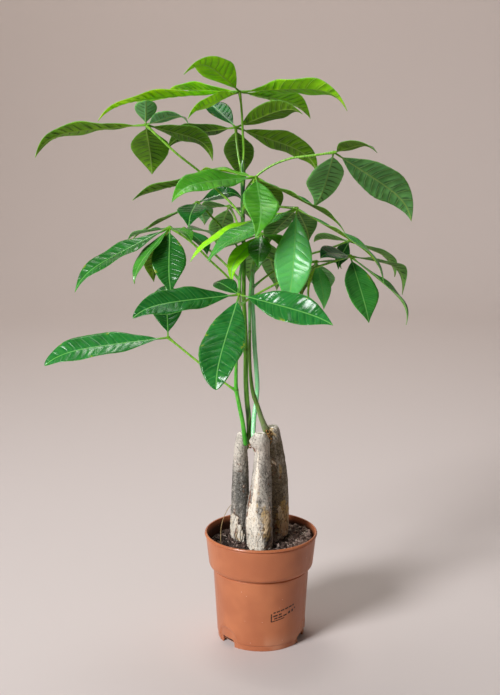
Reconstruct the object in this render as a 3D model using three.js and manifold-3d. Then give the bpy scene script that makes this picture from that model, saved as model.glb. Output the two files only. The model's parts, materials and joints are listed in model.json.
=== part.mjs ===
// A money tree in its nursery pot: three swollen trunks stand in potting mix, and four green
// shoots leave their tops and carry palmate leaves on long stalks.
// Millimetres, +Z up. The origin is the centre of the pot's foot, on the surface it stands on;
// +X is to the right and +Y away from someone who looks at the plant from its front.

import * as THREE from "three";
import { mergeVertices } from "three/addons/utils/BufferGeometryUtils.js";
import Module from "manifold-3d";

const wasm = await Module();
wasm.setup();

// Driving dimensions

const clearance = 0.3; // between two pieces that touch

const pot = {
  rimRadius: 60,
  height: 116,
  lipHeight: 3,
  lipStep: 0.9, // the rolled lip stands out this far from the collar
  collarFoot: { radius: 55.5, z: 82 },
  wallTop: { radius: 51, z: 75.5 },
  footRadius: 46,
  wall: 1.6,
  footRing: 2.6,
  floorUnder: 3.4,
  floorTop: 5,
  restDisc: 12, // radius of the flat middle of the foot
  restSlope: 3,
  sides: 40,
};

const drain = {
  slots: 3,
  firstSlot: -50.5, // degrees from the front, clockwise seen from below
  slotWidth: 12,
  slotHeight: 7,
  slotCorner: 3,
  archWidth: 27,
  archHeight: 19,
  archDepth: 0.9,
  holes: 5,
  holeRadius: 4,
  holeCircle: 28,
};

const soil = {
  level: 103.5,
  slope: 0.045, // the surface rises this much for each millimetre to the right
  moundAt: [44, 18],
  moundHeight: 3.5,
  moundRadius: 15,
  lump: 1.1,
  edgeDip: 6, // the edge keeps the clearance that it needs this far below the level
  rings: 7,
};

// Trunks: sections from the foot in the soil to the cut top, as [z, x, y, radius].
const trunks = {
  sides: 12,
  trunk_left: [
    [66, -22, 8, 6.5], [74, -22, 8, 9], [100, -22.3, 8, 10.3], [126, -22.3, 8, 10.6],
    [147, -21.8, 8, 10.2], [165, -21.9, 8, 9.4], [180, -22, 8, 8.6], [192, -21.9, 8, 7.8],
    [202, -21.6, 8, 7], [211, -21, 8, 6.2], [217, -20.5, 8, 5.2], [220.5, -20.2, 8, 4.2],
    [222, -20.2, 8, 2.8],
  ],
  trunk_front: [
    [62, -1.5, -17, 8], [72, -1.5, -17, 12], [92, -1.4, -17, 13.2], [106, -1.4, -17, 13.6],
    [120, -1.6, -17, 14.6], [133, -1.9, -17, 14.8], [154, -1.4, -17, 13.2], [166, -0.6, -17, 12],
    [176, 0, -17, 10.9], [187, 0.3, -17, 9.7], [198, 0.4, -17, 8.6], [209, 0.2, -17, 8],
    [214, -1, -17, 9.1], [219, -1.6, -17, 9.5], [223, -1.5, -17, 8], [226, -1.3, -17, 5.6],
    [227.3, -1.3, -17, 4.2],
  ],
  trunk_right: [
    [62, 17, 12, 7.5], [72, 17, 12, 11], [96, 17.3, 12, 12], [114, 17.6, 12, 12.4],
    [130, 18, 12, 12.9], [144, 18, 12, 12.8], [157, 17.6, 12, 12.4], [174, 16.6, 12, 11.6],
    [190, 15, 12, 10.6], [202, 13.6, 12, 9.8], [212, 12.4, 12, 9], [220, 11.8, 12, 8],
    [225, 11.7, 12, 6.6], [227.6, 11.7, 12, 4.6],
  ],
};

// Shoots: each has a stem, given by the points on its middle line and its radius there, and
// leaf stalks, each from a point in the stem to the hub of the leaf that it names.
const stalk = { radius: 1.15, flare: 1.7, hubGap: 0.7 };
const tubeSides = { stem: 7, stalk: 5 };
const tubeStep = { stem: 17, stalk: 18 };
const shoots = {
  shoot_left: {
    colour: "#4fae2b",
    stem: [
      [-16, 2, 209, 2.4], [-17.5, 2, 219, 2.4], [-19, 2, 231, 2.3], [-23, -1, 253, 2.2],
      [-26, -4, 271, 2.1], [-26, -6, 291, 1.8], [-25, -8, 318, 1.7], [-23, -8, 343, 1.7],
      [-22, -8, 364, 1.6], [-22, -8, 386, 1.6], [-20, -6, 402, 1.4],
    ],
    stalks: {
      leaf_low_left: [[-26, -4, 269], [-32, -5, 273], [-41, -5, 280], [-60, -4, 295]],
      leaf_low_front: [[-23, -8, 338], [-22, -22, 354], [-22, -42, 367]],
      leaf_right: [[-22, -9, 359], [-18, -11, 362], [-10, -11, 367], [16, -8, 381], [47, -4, 394], [75, -1, 403]],
      leaf_left: [[-22, -8, 371], [-33, -10, 386], [-52, -14, 405], [-71, -18, 424]],
      leaf_left_inner: [[-22, -8, 384], [-34, -4, 397], [-46, 2, 408], [-62, 9, 420]],
      leaf_left_back: [[-20, -6, 400], [-24, 0, 416], [-37, 8, 432], [-55, 15, 451]],
    },
  },
  shoot_tall: {
    colour: "#3c7a22",
    stem: [
      [-16, 10, 203, 2.6], [-13, 10, 216, 2.8], [-13, 9, 235, 2.8], [-15, 7, 257, 2.7],
      [-16, 5, 278, 2.6], [-16, 4, 310, 2.5], [-17, 4, 342, 2.2], [-18, 4, 363, 2.1],
      [-18, 4, 383, 2.1], [-18, 3, 414, 2.1], [-19, 2, 449, 2.1], [-19, 1, 474, 2.2],
      [-19, 0, 490, 2.9], [-19, 0, 498, 2.4], [-18.5, 0, 504, 1.3],
    ],
    stalks: {
      leaf_top: [[-19, 0, 496], [-18, 0, 510], [-19, 0, 533], [-20.5, 0, 558]],
      leaf_second: [[-19, 1, 489], [-22.5, 7, 503], [-25, 12, 519]],
      leaf_upper_left: [[-19, 1, 447], [-32, 6, 462], [-45, 10, 474], [-57, 10, 487], [-86, -1, 511]],
      leaf_upper_right: [[-19, 1, 462], [-14, 4, 477], [-7, 6, 486], [3, 4, 494], [28, -2, 505], [50, -7, 508]],
      leaf_bright_front: [[-19, 1, 449], [-15, -12, 465], [-10, -22, 478]],
      leaf_front_right: [[-19, 1, 459], [-12, -8, 463], [0, -16, 462], [14, -23, 459]],
      leaf_middle_back: [[-18, 3, 415], [-21, 15, 430], [-26, 30, 442], [-31, 44, 452]],
    },
  },
  shoot_middle: {
    colour: "#6fc08a",
    stem: [
      [-6, -13, 207, 2.2], [-8, -6, 219, 2.4], [-7.5, 3, 237, 2.4], [-5, 9, 255, 2.3],
      [-4, 11, 269, 2.3], [-5, 11, 288, 2.4], [-7, 12, 314, 2.4], [-8, 12, 340, 2.2],
      [-9, 12, 361, 2], [-9, 13, 377, 1.8], [-8, 14, 394, 1.6], [-6, 15, 404, 1.4],
    ],
    stalks: {
      leaf_right_back: [[-9, 13, 374], [2, 16, 383], [16, 20, 392], [40, 25, 404], [70, 28, 413]],
      leaf_right_low: [[-7, 14, 400], [-3, 16, 405], [5, 19, 405], [16, 23, 400], [37, 29, 398]],
    },
  },
  shoot_right: {
    colour: "#6f8a4a",
    stem: [
      [9, 11, 215, 4.2], [6, 9, 222, 4], [1, 2, 236, 2.9], [-4, -4, 253, 2.4],
      [-9, -6, 269, 2.1], [-11, -6, 285, 1.8], [-12, -5, 312, 1.6], [-12, -4, 332, 1.5],
      [-12, -4, 348, 1.5], [-12, -3, 363, 1.5], [-11, -1, 378, 1.6], [-9, 1, 396, 1.4],
    ],
    stalks: {
      leaf_inner: [[-9, 1, 394], [-6, 3, 410], [-2, 4, 422]],
    },
  },
};

// Leaves: each has the place of its hub and one row for each leaflet: where its tip lies from
// the hub as [right, away, up], its greatest width, how far its midrib bows up and sways to its
// right side, and how far its blade is turned about its own length, in degrees.
const leaves = {
  leaf_top: {
    hub: [-22, 0, 570],
    leaflets: [
      { tip: [-139, -10, -29], width: 28, bow: 12, turn: 13 },
      { tip: [-74, 40, 3], width: 28, bow: 2, turn: 16 },
      { tip: [-51, -62, 11], width: 34, bow: 13, sway: -7, turn: 20 },
      { tip: [-49, -36, -28], width: 26, bow: 4, turn: 32 },
      { tip: [104, -26, -20], width: 32, bow: 15, turn: -18 },
      { tip: [73, 50, -24], width: 30, bow: 9, turn: -14 },
    ],
  },
  leaf_second: {
    hub: [-26, 15, 536],
    leaflets: [
      { tip: [-72, 44, -20], width: 28, bow: 8, turn: 30 },
      { tip: [-35, 34, 26], width: 28, bow: 4, turn: 20 },
      { tip: [65, -40, 11], width: 30, bow: 8, turn: -30 },
      { tip: [84, 25, -45], width: 30, bow: 11, turn: -38 },
      { tip: [4, 50, -52], width: 32, bow: 6, turn: 0 },
    ],
  },
  leaf_upper_left: {
    hub: [-115, 0, 538],
    leaflets: [
      { tip: [-114, 15, -32], width: 28, bow: 15, turn: 20 },
      { tip: [4, -34, 21], width: 22, bow: 3, turn: 0 },
      { tip: [45, -44, -1], width: 24, bow: 8, turn: -15 },
      { tip: [65, 26, -35], width: 28, bow: 12, turn: -28 },
      { tip: [1, 45, -49], width: 40, bow: 6, turn: 0 },
    ],
  },
  leaf_upper_right: {
    hub: [71, -10, 511],
    leaflets: [
      { tip: [-16, 50, -56], width: 40, bow: 5, sway: 6, turn: 0 },
      { tip: [85, 42, -70], width: 38, bow: 11, turn: -48 },
      { tip: [36, -55, -1], width: 26, bow: 7, sway: 4, turn: -12 },
    ],
  },
  leaf_bright_front: {
    hub: [-6, -30, 487],
    leaflets: [
      { tip: [-77, -66, -22], width: 32, bow: 10, turn: -30 },
      { tip: [-126, 50, -24], width: 28, bow: 7, turn: 15 },
      { tip: [-57, 66, 6], width: 20, bow: 3, turn: 0 },
      { tip: [-1, -84, -53], width: 34, bow: 8, sway: -5, turn: -10 },
      { tip: [87, -8, -54], width: 26, bow: 6, turn: -4 },
      { tip: [23, 42, -35], width: 26, bow: 5, turn: 0 },
    ],
  },
  leaf_front_right: {
    hub: [34, -30, 457],
    leaflets: [
      { tip: [-11, -22, -93], width: 37, bow: 8, sway: -7, turn: 0 },
      { tip: [-85, -56, -46], width: 30, bow: 6, turn: -10 },
      { tip: [-103, -24, -50], width: 26, bow: 9, turn: -10 },
      { tip: [79, -58, -66], width: 26, bow: 12.5, turn: -4 },
      { tip: [15, 48, -35], width: 25, bow: 5, turn: 0 },
      { tip: [-28, 50, -41], width: 28, bow: 5, turn: 0 },
    ],
  },
  leaf_inner: {
    hub: [0, 5, 430],
    leaflets: [
      { tip: [-52, -34, -26], width: 22, bow: 7, turn: 0 },
      { tip: [-29, -30, -47], width: 20, bow: 14, turn: 12 },
      { tip: [-11, -34, -34], width: 24, bow: 6, turn: 0 },
      { tip: [20, -30, -14], width: 20, bow: 6, turn: 0 },
      { tip: [-12, 44, -55], width: 26, bow: 6, turn: 0 },
      { tip: [17, 42, -63], width: 28, bow: 6, turn: 0 },
    ],
  },
  leaf_right: {
    hub: [90, 0, 408],
    leaflets: [
      { tip: [15, -44, -62], width: 35, bow: 6, sway: 2, turn: 0 },
      { tip: [55, -24, -67], width: 22, bow: 12, turn: -8 },
      { tip: [59, 34, -44], width: 28, bow: 20, turn: 0 },
      { tip: [-33, -40, 1], width: 24, bow: 4, turn: -12 },
    ],
  },
  leaf_right_back: {
    hub: [92, 30, 421],
    leaflets: [
      { tip: [-35, 36, -4], width: 24, bow: 4, turn: 22 },
      { tip: [52, 30, -41], width: 26, bow: 12, turn: 0 },
      { tip: [-14, -28, -27], width: 16, bow: 5, turn: 0 },
    ],
  },
  leaf_right_low: {
    hub: [58, 35, 399],
    leaflets: [
      { tip: [13, 40, -44], width: 30, bow: 6, sway: -2, turn: 0 },
      { tip: [6, -34, -46], width: 19, bow: 6, turn: 0 },
      { tip: [-6, -30, -42], width: 18, bow: 7, sway: 4, turn: 78 },
      { tip: [-13, 30, -42], width: 22, bow: 7, turn: 0 },
      { tip: [25, -16, -6], width: 16, bow: 5, turn: 0 },
    ],
  },
  leaf_low_left: {
    hub: [-96, 0, 324],
    leaflets: [
      { tip: [-123, -24, -25], width: 34, bow: 8, turn: -40 },
      { tip: [-7, 62, 46], width: 36, bow: 5, turn: 0 },
    ],
  },
  leaf_low_front: {
    hub: [-22, -60, 376],
    leaflets: [
      { tip: [-99, -34, -18], width: 32, bow: 7, turn: -38 },
      { tip: [-20, -76, -77], width: 42, bow: 5, sway: 2, turn: 0 },
      { tip: [87, -44, -23], width: 36, bow: 3, turn: 38 },
      { tip: [-26, 34, 7], width: 22, bow: 3, turn: -20 },
    ],
  },
  leaf_left: {
    hub: [-91, -20, 438],
    leaflets: [
      { tip: [-88, -46, -59], width: 28, bow: 9, turn: -18 },
      { tip: [-31, -44, -51], width: 21, bow: 7, turn: 12 },
      { tip: [-19, 24, -57], width: 30, bow: 8, turn: 0 },
      { tip: [4, -44, -60], width: 34, bow: 5, sway: 2, turn: 0 },
      { tip: [23, -30, -13], width: 20, bow: 5, turn: 0 },
      { tip: [-45, 26, -14], width: 22, bow: 3, turn: 0 },
    ],
  },
  leaf_left_inner: {
    hub: [-79, 10, 435],
    leaflets: [
      { tip: [28, 34, -11], width: 22, bow: 4, turn: 10 },
      { tip: [24, -22, -25], width: 24, bow: 5, turn: 0 },
    ],
  },
  leaf_left_back: {
    hub: [-66, 20, 461],
    leaflets: [
      { tip: [-6, -44, -23], width: 30, bow: 6, turn: 0 },
      { tip: [-66, 0, -37], width: 22, bow: 2, turn: 0 },
      { tip: [6, 34, -25], width: 24, bow: 5, turn: 0 },
      { tip: [46, 8, 2], width: 24, bow: 8, turn: 28 },
    ],
  },
  leaf_middle_back: {
    hub: [-34, 50, 456],
    leaflets: [
      { tip: [-13, 34, -45], width: 28, bow: 5, turn: 0 },
      { tip: [-29, 20, -8], width: 22, bow: 5, turn: 20 },
      { tip: [24, 30, -17], width: 24, bow: 5, turn: 0 },
    ],
  },
};

const blade = {
  hubRadius: 2.2,
  longStations: [0, 0.1, 0.21, 0.37, 0.56, 0.75, 0.9, 1],
  shortStations: [0, 0.1, 0.27, 0.5, 0.77, 1],
  shortLength: 72,
  stalkShare: 0.09, // the part of a leaflet's length that is its bare stalk
  stalkHalf: 0.8,
  stalkThickness: 1.7,
  thickness: 0.7,
  tipHalf: 0.5,
  fold: 0.14, // the margins stand this share of the half width above the midrib
  wave: 1.1,
  waves: 2.6,
};

// Solids

// A closed geometry as a solid that can be joined and cut.
function solidOf(geometry) {
  geometry.deleteAttribute("normal");
  geometry.deleteAttribute("uv");
  const merged = mergeVertices(geometry, 1e-4);
  return new wasm.Manifold(
    new wasm.Mesh({
      numProp: 3,
      vertProperties: merged.attributes.position.array,
      triVerts: new Uint32Array(merged.index.array),
    }),
  );
}

// A solid as a geometry with flat shading.
function geometryOf(solid) {
  const mesh = solid.getMesh();
  const points = new Float32Array(mesh.numVert * 3);
  for (let i = 0; i < mesh.numVert; i += 1) {
    points.set(mesh.vertProperties.subarray(i * mesh.numProp, i * mesh.numProp + 3), i * 3);
  }
  const geometry = new THREE.BufferGeometry();
  geometry.setAttribute("position", new THREE.BufferAttribute(points, 3));
  geometry.setIndex(new THREE.BufferAttribute(mesh.triVerts, 1));
  geometry.computeVertexNormals();
  return geometry;
}

// A closed skin over rings of points, each ring counter-clockwise seen against the way the
// rings follow each other. The strips named in `turned` are split along their other diagonal.
function skin(rings, turned = []) {
  const count = rings[0].length;
  const faces = [];
  for (let i = 0; i + 1 < rings.length; i += 1) {
    for (let j = 0; j < count; j += 1) {
      const k = (j + 1) % count;
      const [a, b] = [i * count + j, i * count + k];
      const [c, d] = [a + count, b + count];
      faces.push(...(turned.includes(j) ? [a, b, c, b, d, c] : [a, b, d, a, d, c]));
    }
  }
  const last = (rings.length - 1) * count;
  for (let j = 1; j + 1 < count; j += 1) {
    faces.push(0, j + 1, j, last, last + j, last + j + 1);
  }
  const geometry = new THREE.BufferGeometry();
  geometry.setAttribute(
    "position",
    new THREE.Float32BufferAttribute(rings.flat().flatMap((p) => p.toArray()), 3),
  );
  geometry.setIndex(faces);
  return geometry;
}

function mesh(name, geometry, colour, roughness) {
  const material = new THREE.MeshStandardMaterial({ color: colour, roughness, metalness: 0 });
  const made = new THREE.Mesh(geometry, material);
  made.name = name;
  return made;
}

// Pot

// The radius of the pot's outside at a height, below its lip.
function outerRadius(z) {
  const line = [
    [pot.footRadius, 0],
    [pot.wallTop.radius, pot.wallTop.z],
    [pot.collarFoot.radius, pot.collarFoot.z],
    [pot.rimRadius - pot.lipStep, pot.height],
  ];
  const upper = Math.max(1, line.findIndex(([, height]) => height >= z));
  const [[lowRadius, lowZ], [highRadius, highZ]] = [line[upper - 1], line[upper]];
  return THREE.MathUtils.mapLinear(z, lowZ, highZ, lowRadius, highRadius);
}

function lathe(profile) {
  const points = profile.map(([radius, z]) => new THREE.Vector2(radius, z));
  return new THREE.LatheGeometry(points, pot.sides).rotateX(Math.PI / 2);
}

function potProfile() {
  const lipFoot = pot.height - pot.lipHeight;
  const bead = pot.lipHeight / 3;
  const inside = (z) => outerRadius(z) - pot.wall;
  return [
    [0, 0],
    [pot.restDisc, 0],
    [pot.restDisc + pot.restSlope, pot.floorUnder],
    [pot.footRadius - pot.footRing, pot.floorUnder],
    [pot.footRadius - pot.footRing, 0],
    [pot.footRadius, 0],
    [pot.wallTop.radius, pot.wallTop.z],
    [pot.collarFoot.radius, pot.collarFoot.z],
    [outerRadius(lipFoot), lipFoot],
    [pot.rimRadius - bead / 2, lipFoot + bead / 2],
    [pot.rimRadius, lipFoot + bead],
    [pot.rimRadius, pot.height - bead],
    [pot.rimRadius - bead, pot.height],
    [inside(pot.height), pot.height],
    [inside(pot.collarFoot.z), pot.collarFoot.z],
    [inside(pot.wallTop.z), pot.wallTop.z],
    [inside(pot.floorTop), pot.floorTop],
    [0, pot.floorTop],
  ];
}

// An arched block that stands on the ground, from one radius out to another.
function archedBlock(width, height, corner, fromRadius, toRadius) {
  const half = width / 2;
  const outline = new THREE.Shape();
  outline.moveTo(-half, -1);
  outline.lineTo(half, -1);
  outline.lineTo(half, height - corner);
  outline.absarc(half - corner, height - corner, corner, 0, Math.PI / 2, false);
  outline.absarc(corner - half, height - corner, corner, Math.PI / 2, Math.PI, false);
  const block = new THREE.ExtrudeGeometry(outline, {
    depth: toRadius - fromRadius,
    bevelEnabled: false,
    curveSegments: 3,
  });
  return block.rotateX(Math.PI / 2).translate(0, -fromRadius, 0);
}

function buildPot() {
  let body = solidOf(lathe(potProfile()));
  for (let i = 0; i < drain.slots; i += 1) {
    const angle = THREE.MathUtils.degToRad(drain.firstSlot + (i * 360) / drain.slots);
    const slot = archedBlock(
      drain.slotWidth, drain.slotHeight, drain.slotCorner,
      pot.footRadius - pot.footRing - 1, pot.rimRadius,
    );
    const arch = archedBlock(
      drain.archWidth, drain.archHeight, drain.archWidth / 2 - 1,
      outerRadius(drain.archHeight / 2) - drain.archDepth, pot.rimRadius,
    );
    body = body.subtract(solidOf(slot.rotateZ(angle))).subtract(solidOf(arch.rotateZ(angle)));
  }
  for (let i = 0; i < drain.holes; i += 1) {
    const angle = (i * 2 * Math.PI) / drain.holes;
    const hole = new THREE.CylinderGeometry(drain.holeRadius, drain.holeRadius, 4 * pot.floorTop, 10);
    hole.rotateX(Math.PI / 2);
    hole.translate(drain.holeCircle * Math.cos(angle), drain.holeCircle * Math.sin(angle), 0);
    body = body.subtract(solidOf(hole));
  }
  return mesh("pot", geometryOf(body), "#c4714c", 0.45);
}

// Trunks

// The skin of a trunk, grown outwards by a margin: nearly round sections with shallow lobes
// that wind slowly round it.
function trunkGeometry(sections, margin = 0) {
  const rings = sections.map(([z, x, y, radius]) =>
    Array.from({ length: trunks.sides }, (_, j) => {
      const angle = (2 * Math.PI * j) / trunks.sides;
      const lobes = 0.05 * Math.sin(2 * angle + z / 31) + 0.035 * Math.sin(3 * angle - z / 17);
      const reach = radius * (1 + lobes) + margin;
      return new THREE.Vector3(x + reach * Math.cos(angle), y + reach * Math.sin(angle), z);
    }),
  );
  if (margin > 0) {
    rings[0].forEach((point) => point.setZ(point.z - margin));
    rings.at(-1).forEach((point) => point.setZ(point.z + margin));
  }
  return skin(rings);
}

function buildTrunk(name) {
  return mesh(name, trunkGeometry(trunks[name]), "#9a9186", 0.85);
}

function trunkHole(name) {
  return solidOf(trunkGeometry(trunks[name], clearance));
}

const trunkNames = ["trunk_left", "trunk_front", "trunk_right"];

// Soil

// The height of the soil's surface: a slope up to the right, a mound there and small lumps.
function soilHeight(x, y) {
  const [moundX, moundY] = soil.moundAt;
  const fromMound = Math.hypot(x - moundX, y - moundY) / soil.moundRadius;
  const mound = soil.moundHeight * Math.exp(-fromMound * fromMound);
  const lumps = soil.lump * (Math.sin(x / 5.3 + 1) * Math.cos(y / 4.7) + 0.6 * Math.sin((x - y) / 3.4));
  return soil.level + soil.slope * x + mound + lumps;
}

// The soil fills the pot from just above its floor and stands clear of its wall all the way up.
function buildSoil() {
  const reachAt = (z) => outerRadius(z) - pot.wall - clearance;
  const ring = (radius, heightOf) =>
    Array.from({ length: pot.sides }, (_, j) => {
      const angle = (2 * Math.PI * j) / pot.sides;
      const [x, y] = [radius * Math.cos(angle), radius * Math.sin(angle)];
      return new THREE.Vector3(x, y, heightOf(x, y));
    });
  const sides = [pot.floorTop + clearance, pot.wallTop.z, pot.collarFoot.z];
  const rings = sides.map((z) => ring(reachAt(z), () => z));
  const edge = reachAt(soil.level - soil.edgeDip);
  for (let i = soil.rings; i > 0; i -= 1) rings.push(ring((edge * i) / soil.rings, soilHeight));
  let body = solidOf(skin(rings));
  for (const name of trunkNames) body = body.subtract(trunkHole(name));
  return mesh("soil", geometryOf(body), "#2b211b", 0.95);
}

// Shoots

// A tapering round tube along a smooth curve through [x, y, z, radius] points.
function tube(points, sides, step) {
  const curve = new THREE.CatmullRomCurve3(points.map(([x, y, z]) => new THREE.Vector3(x, y, z)));
  const count = Math.max(2, Math.ceil(curve.getLength() / step));
  const { normals, binormals } = curve.computeFrenetFrames(count, false);
  const rings = normals.map((normal, i) => {
    const share = curve.getUtoTmapping(i / count);
    const place = share * (points.length - 1);
    const from = Math.min(points.length - 2, Math.floor(place));
    const radius = THREE.MathUtils.lerp(points[from][3], points[from + 1][3], place - from);
    const middle = curve.getPoint(share);
    return Array.from({ length: sides }, (_, j) => {
      const angle = (2 * Math.PI * j) / sides;
      return middle.clone()
        .addScaledVector(normal, radius * Math.cos(angle))
        .addScaledVector(binormals[i], radius * Math.sin(angle));
    });
  });
  return skin(rings);
}

// A leaf stalk: it flares where it leaves the stem and stops just short of the leaf's hub.
function leafStalk(points, hub) {
  const end = new THREE.Vector3(...hub);
  const before = new THREE.Vector3(...points.at(-1));
  const stop = end.clone().sub(before).setLength(blade.hubRadius + stalk.hubGap);
  const line = [...points, end.sub(stop).toArray()];
  const radii = line.map((_, i) => (i === 0 ? stalk.flare : stalk.radius));
  return tube(line.map((point, i) => [...point, radii[i]]), tubeSides.stalk, tubeStep.stalk);
}

function buildShoot(name) {
  const { stem, stalks, colour } = shoots[name];
  let body = solidOf(tube(stem, tubeSides.stem, tubeStep.stem));
  for (const [leafName, points] of Object.entries(stalks)) {
    body = body.add(solidOf(leafStalk(points, leaves[leafName].hub)));
  }
  for (const trunkName of trunkNames) body = body.subtract(trunkHole(trunkName));
  return mesh(name, geometryOf(body), colour, 0.4);
}

// Leaves

// The bow of a midrib, from 0 to 1 and back: nearly straight from the hub, then over and down.
function bowAt(u) {
  return (u * (1 - u ** 6)) / 0.62;
}

// Half the width of a leaflet at a share of its length: a bare stalk, then a blade that is
// widest past its middle and ends in a short drip tip.
function halfWidthAt(u, width) {
  const v = Math.max(0, (u - blade.stalkShare) / (1 - blade.stalkShare));
  const round = Math.sin(Math.PI * Math.min(1, v) ** 1.15) ** 0.8;
  const least = v > 0.5 ? blade.tipHalf : blade.stalkHalf;
  return Math.max(least, (width / 2) * round * (1 - v ** 8 / 2));
}

// One leaflet: sections of six points, three on the face and three on the underside, square
// to the bowed midrib, with margins that stand up a little and wave.
function leafletGeometry(hub, { tip, width, bow, sway = 0, turn }, phase) {
  const root = new THREE.Vector3(...hub);
  const chord = new THREE.Vector3(...tip);
  const along = chord.clone().normalize();
  const rise = new THREE.Vector3(0, 0, 1).projectOnPlane(along).normalize();
  const across = along.clone().cross(rise);
  const up = rise.clone().applyAxisAngle(along, THREE.MathUtils.degToRad(turn));
  const midrib = (u) =>
    root.clone().addScaledVector(chord, u)
      .addScaledVector(rise, bow * bowAt(u)).addScaledVector(across, sway * bowAt(u));
  const stations = chord.length() < blade.shortLength ? blade.shortStations : blade.longStations;
  const rings = stations.map((u) => {
    const middle = midrib(u);
    const tangent = midrib(Math.min(1, u + 0.02)).sub(midrib(Math.max(0, u - 0.02)));
    const normal = up.clone().projectOnPlane(tangent.normalize()).normalize();
    const side = tangent.clone().cross(normal);
    const half = halfWidthAt(u, width);
    const thick = (u < blade.stalkShare / 2 ? blade.stalkThickness : blade.thickness) / 2;
    const margin = (sign) => {
      const wave = blade.wave * Math.sin(2 * Math.PI * blade.waves * u + phase + sign) * (2 * half / width);
      return middle.clone().addScaledVector(side, sign * half)
        .addScaledVector(normal, blade.fold * half + wave);
    };
    const line = [margin(-1), middle, margin(1)];
    const face = line.map((p) => p.clone().addScaledVector(normal, thick));
    const under = line.map((p) => p.clone().addScaledVector(normal, -thick));
    return [...face, ...under.reverse()];
  });
  return skin(rings, [3, 4]);
}

function buildLeaf(name) {
  const { hub, leaflets } = leaves[name];
  const ball = new THREE.SphereGeometry(blade.hubRadius, 6, 4).translate(...hub);
  const blades = leaflets.map((leaflet, i) => solidOf(leafletGeometry(hub, leaflet, 1.9 * i)));
  const body = blades.reduce((all, one) => all.add(one), solidOf(ball));
  return mesh(name, geometryOf(body), "#2f8a34", 0.35);
}

// The plant

const moneyTree = new THREE.Group();
moneyTree.name = "potted_money_tree";
moneyTree.add(buildPot(), buildSoil());
for (const name of trunkNames) moneyTree.add(buildTrunk(name));
for (const name of Object.keys(shoots)) moneyTree.add(buildShoot(name));
for (const name of Object.keys(leaves)) moneyTree.add(buildLeaf(name));

export default moneyTree;
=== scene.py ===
import functools
import json
import math
import bpy
import numpy as np
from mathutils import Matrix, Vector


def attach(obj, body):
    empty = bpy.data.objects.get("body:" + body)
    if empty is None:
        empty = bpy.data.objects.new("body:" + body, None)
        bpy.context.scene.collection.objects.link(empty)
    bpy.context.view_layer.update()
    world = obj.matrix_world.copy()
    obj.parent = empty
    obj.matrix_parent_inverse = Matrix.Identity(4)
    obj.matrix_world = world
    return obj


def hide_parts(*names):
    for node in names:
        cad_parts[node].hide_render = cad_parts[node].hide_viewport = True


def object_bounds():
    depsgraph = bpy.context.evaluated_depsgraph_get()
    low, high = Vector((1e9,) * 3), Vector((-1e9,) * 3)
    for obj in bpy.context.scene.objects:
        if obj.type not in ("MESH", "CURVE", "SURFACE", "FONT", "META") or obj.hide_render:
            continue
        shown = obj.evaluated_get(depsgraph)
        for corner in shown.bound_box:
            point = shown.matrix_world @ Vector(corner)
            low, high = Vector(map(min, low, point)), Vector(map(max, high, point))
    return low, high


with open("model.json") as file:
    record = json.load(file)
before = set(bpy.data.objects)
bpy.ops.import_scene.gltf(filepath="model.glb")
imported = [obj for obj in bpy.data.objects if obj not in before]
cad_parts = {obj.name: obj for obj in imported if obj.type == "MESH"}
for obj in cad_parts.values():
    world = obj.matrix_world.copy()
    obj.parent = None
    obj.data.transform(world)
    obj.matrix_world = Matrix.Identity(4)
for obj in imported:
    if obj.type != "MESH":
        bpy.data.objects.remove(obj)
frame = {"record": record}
cadBox = [list(corner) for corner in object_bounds()]
millimetre = 0.001
inMm = (1000, 1000, 1000)  # the scale of a Mapping node that turns metres to mm
totals = {"pieces": 0, "triangles": 0}


def smoothThrough(knots, values, at):
    # A cubic between each two knots, with slopes from the knots on both sides, so it bends softly.
    knots, values = np.asarray(knots, float), np.asarray(values, float)
    slopes = np.gradient(values, knots)
    i = np.clip(np.searchsorted(knots, at) - 1, 0, len(knots) - 2)
    step = knots[i + 1] - knots[i]
    t = np.clip((at - knots[i]) / step, 0, 1)
    return (values[i] * (2 * t**3 - 3 * t**2 + 1) + slopes[i] * step * (t**3 - 2 * t**2 + t)
            + values[i + 1] * (3 * t**2 - 2 * t**3) + slopes[i + 1] * step * (t**3 - t**2))


def ramp(low, high, value):
    # 0 below low, 1 above high, and the smooth step 3t² - 2t³ between them.
    t = np.clip((value - low) / (high - low), 0, 1)
    return t * t * (3 - 2 * t)


def ripple(points, size, seed, waves=14):
    # A smooth random field from -1 to 1: the mean of sine waves in random directions, `size` mm long.
    rng = np.random.default_rng(seed)
    ways = rng.normal(size=(waves, 3))
    ways /= np.linalg.norm(ways, axis=1, keepdims=True)
    ways *= 2 * np.pi / (size * rng.uniform(0.7, 1.5, (waves, 1)))
    shifts = rng.uniform(0, 2 * np.pi, waves)
    return np.clip(np.sin(points @ ways.T + shifts).sum(-1) / math.sqrt(waves / 2) / 2, -1, 1)


def unit(vectors):
    # Each vector divided by its length.
    return vectors / np.maximum(np.linalg.norm(vectors, axis=-1, keepdims=True), 1e-9)


def turnedFlat(x, y, turn):
    # Plan coordinates turned about +Z: (x cos - y sin, x sin + y cos).
    return x * np.cos(turn) - y * np.sin(turn), x * np.sin(turn) + y * np.cos(turn)


def around(radius, angle, z, x=0, y=0):
    # Points round an upright line at (x, y): (x + radius cos, y + radius sin, z).
    return np.stack(np.broadcast_arrays(x + radius * np.cos(angle), y + radius * np.sin(angle), z), -1)


def evenAngles(count, start=0.0):
    # A row of angles, evenly spaced all the way round.
    return np.linspace(start, start + 2 * math.pi, count, endpoint=False)[None, :]


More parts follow.
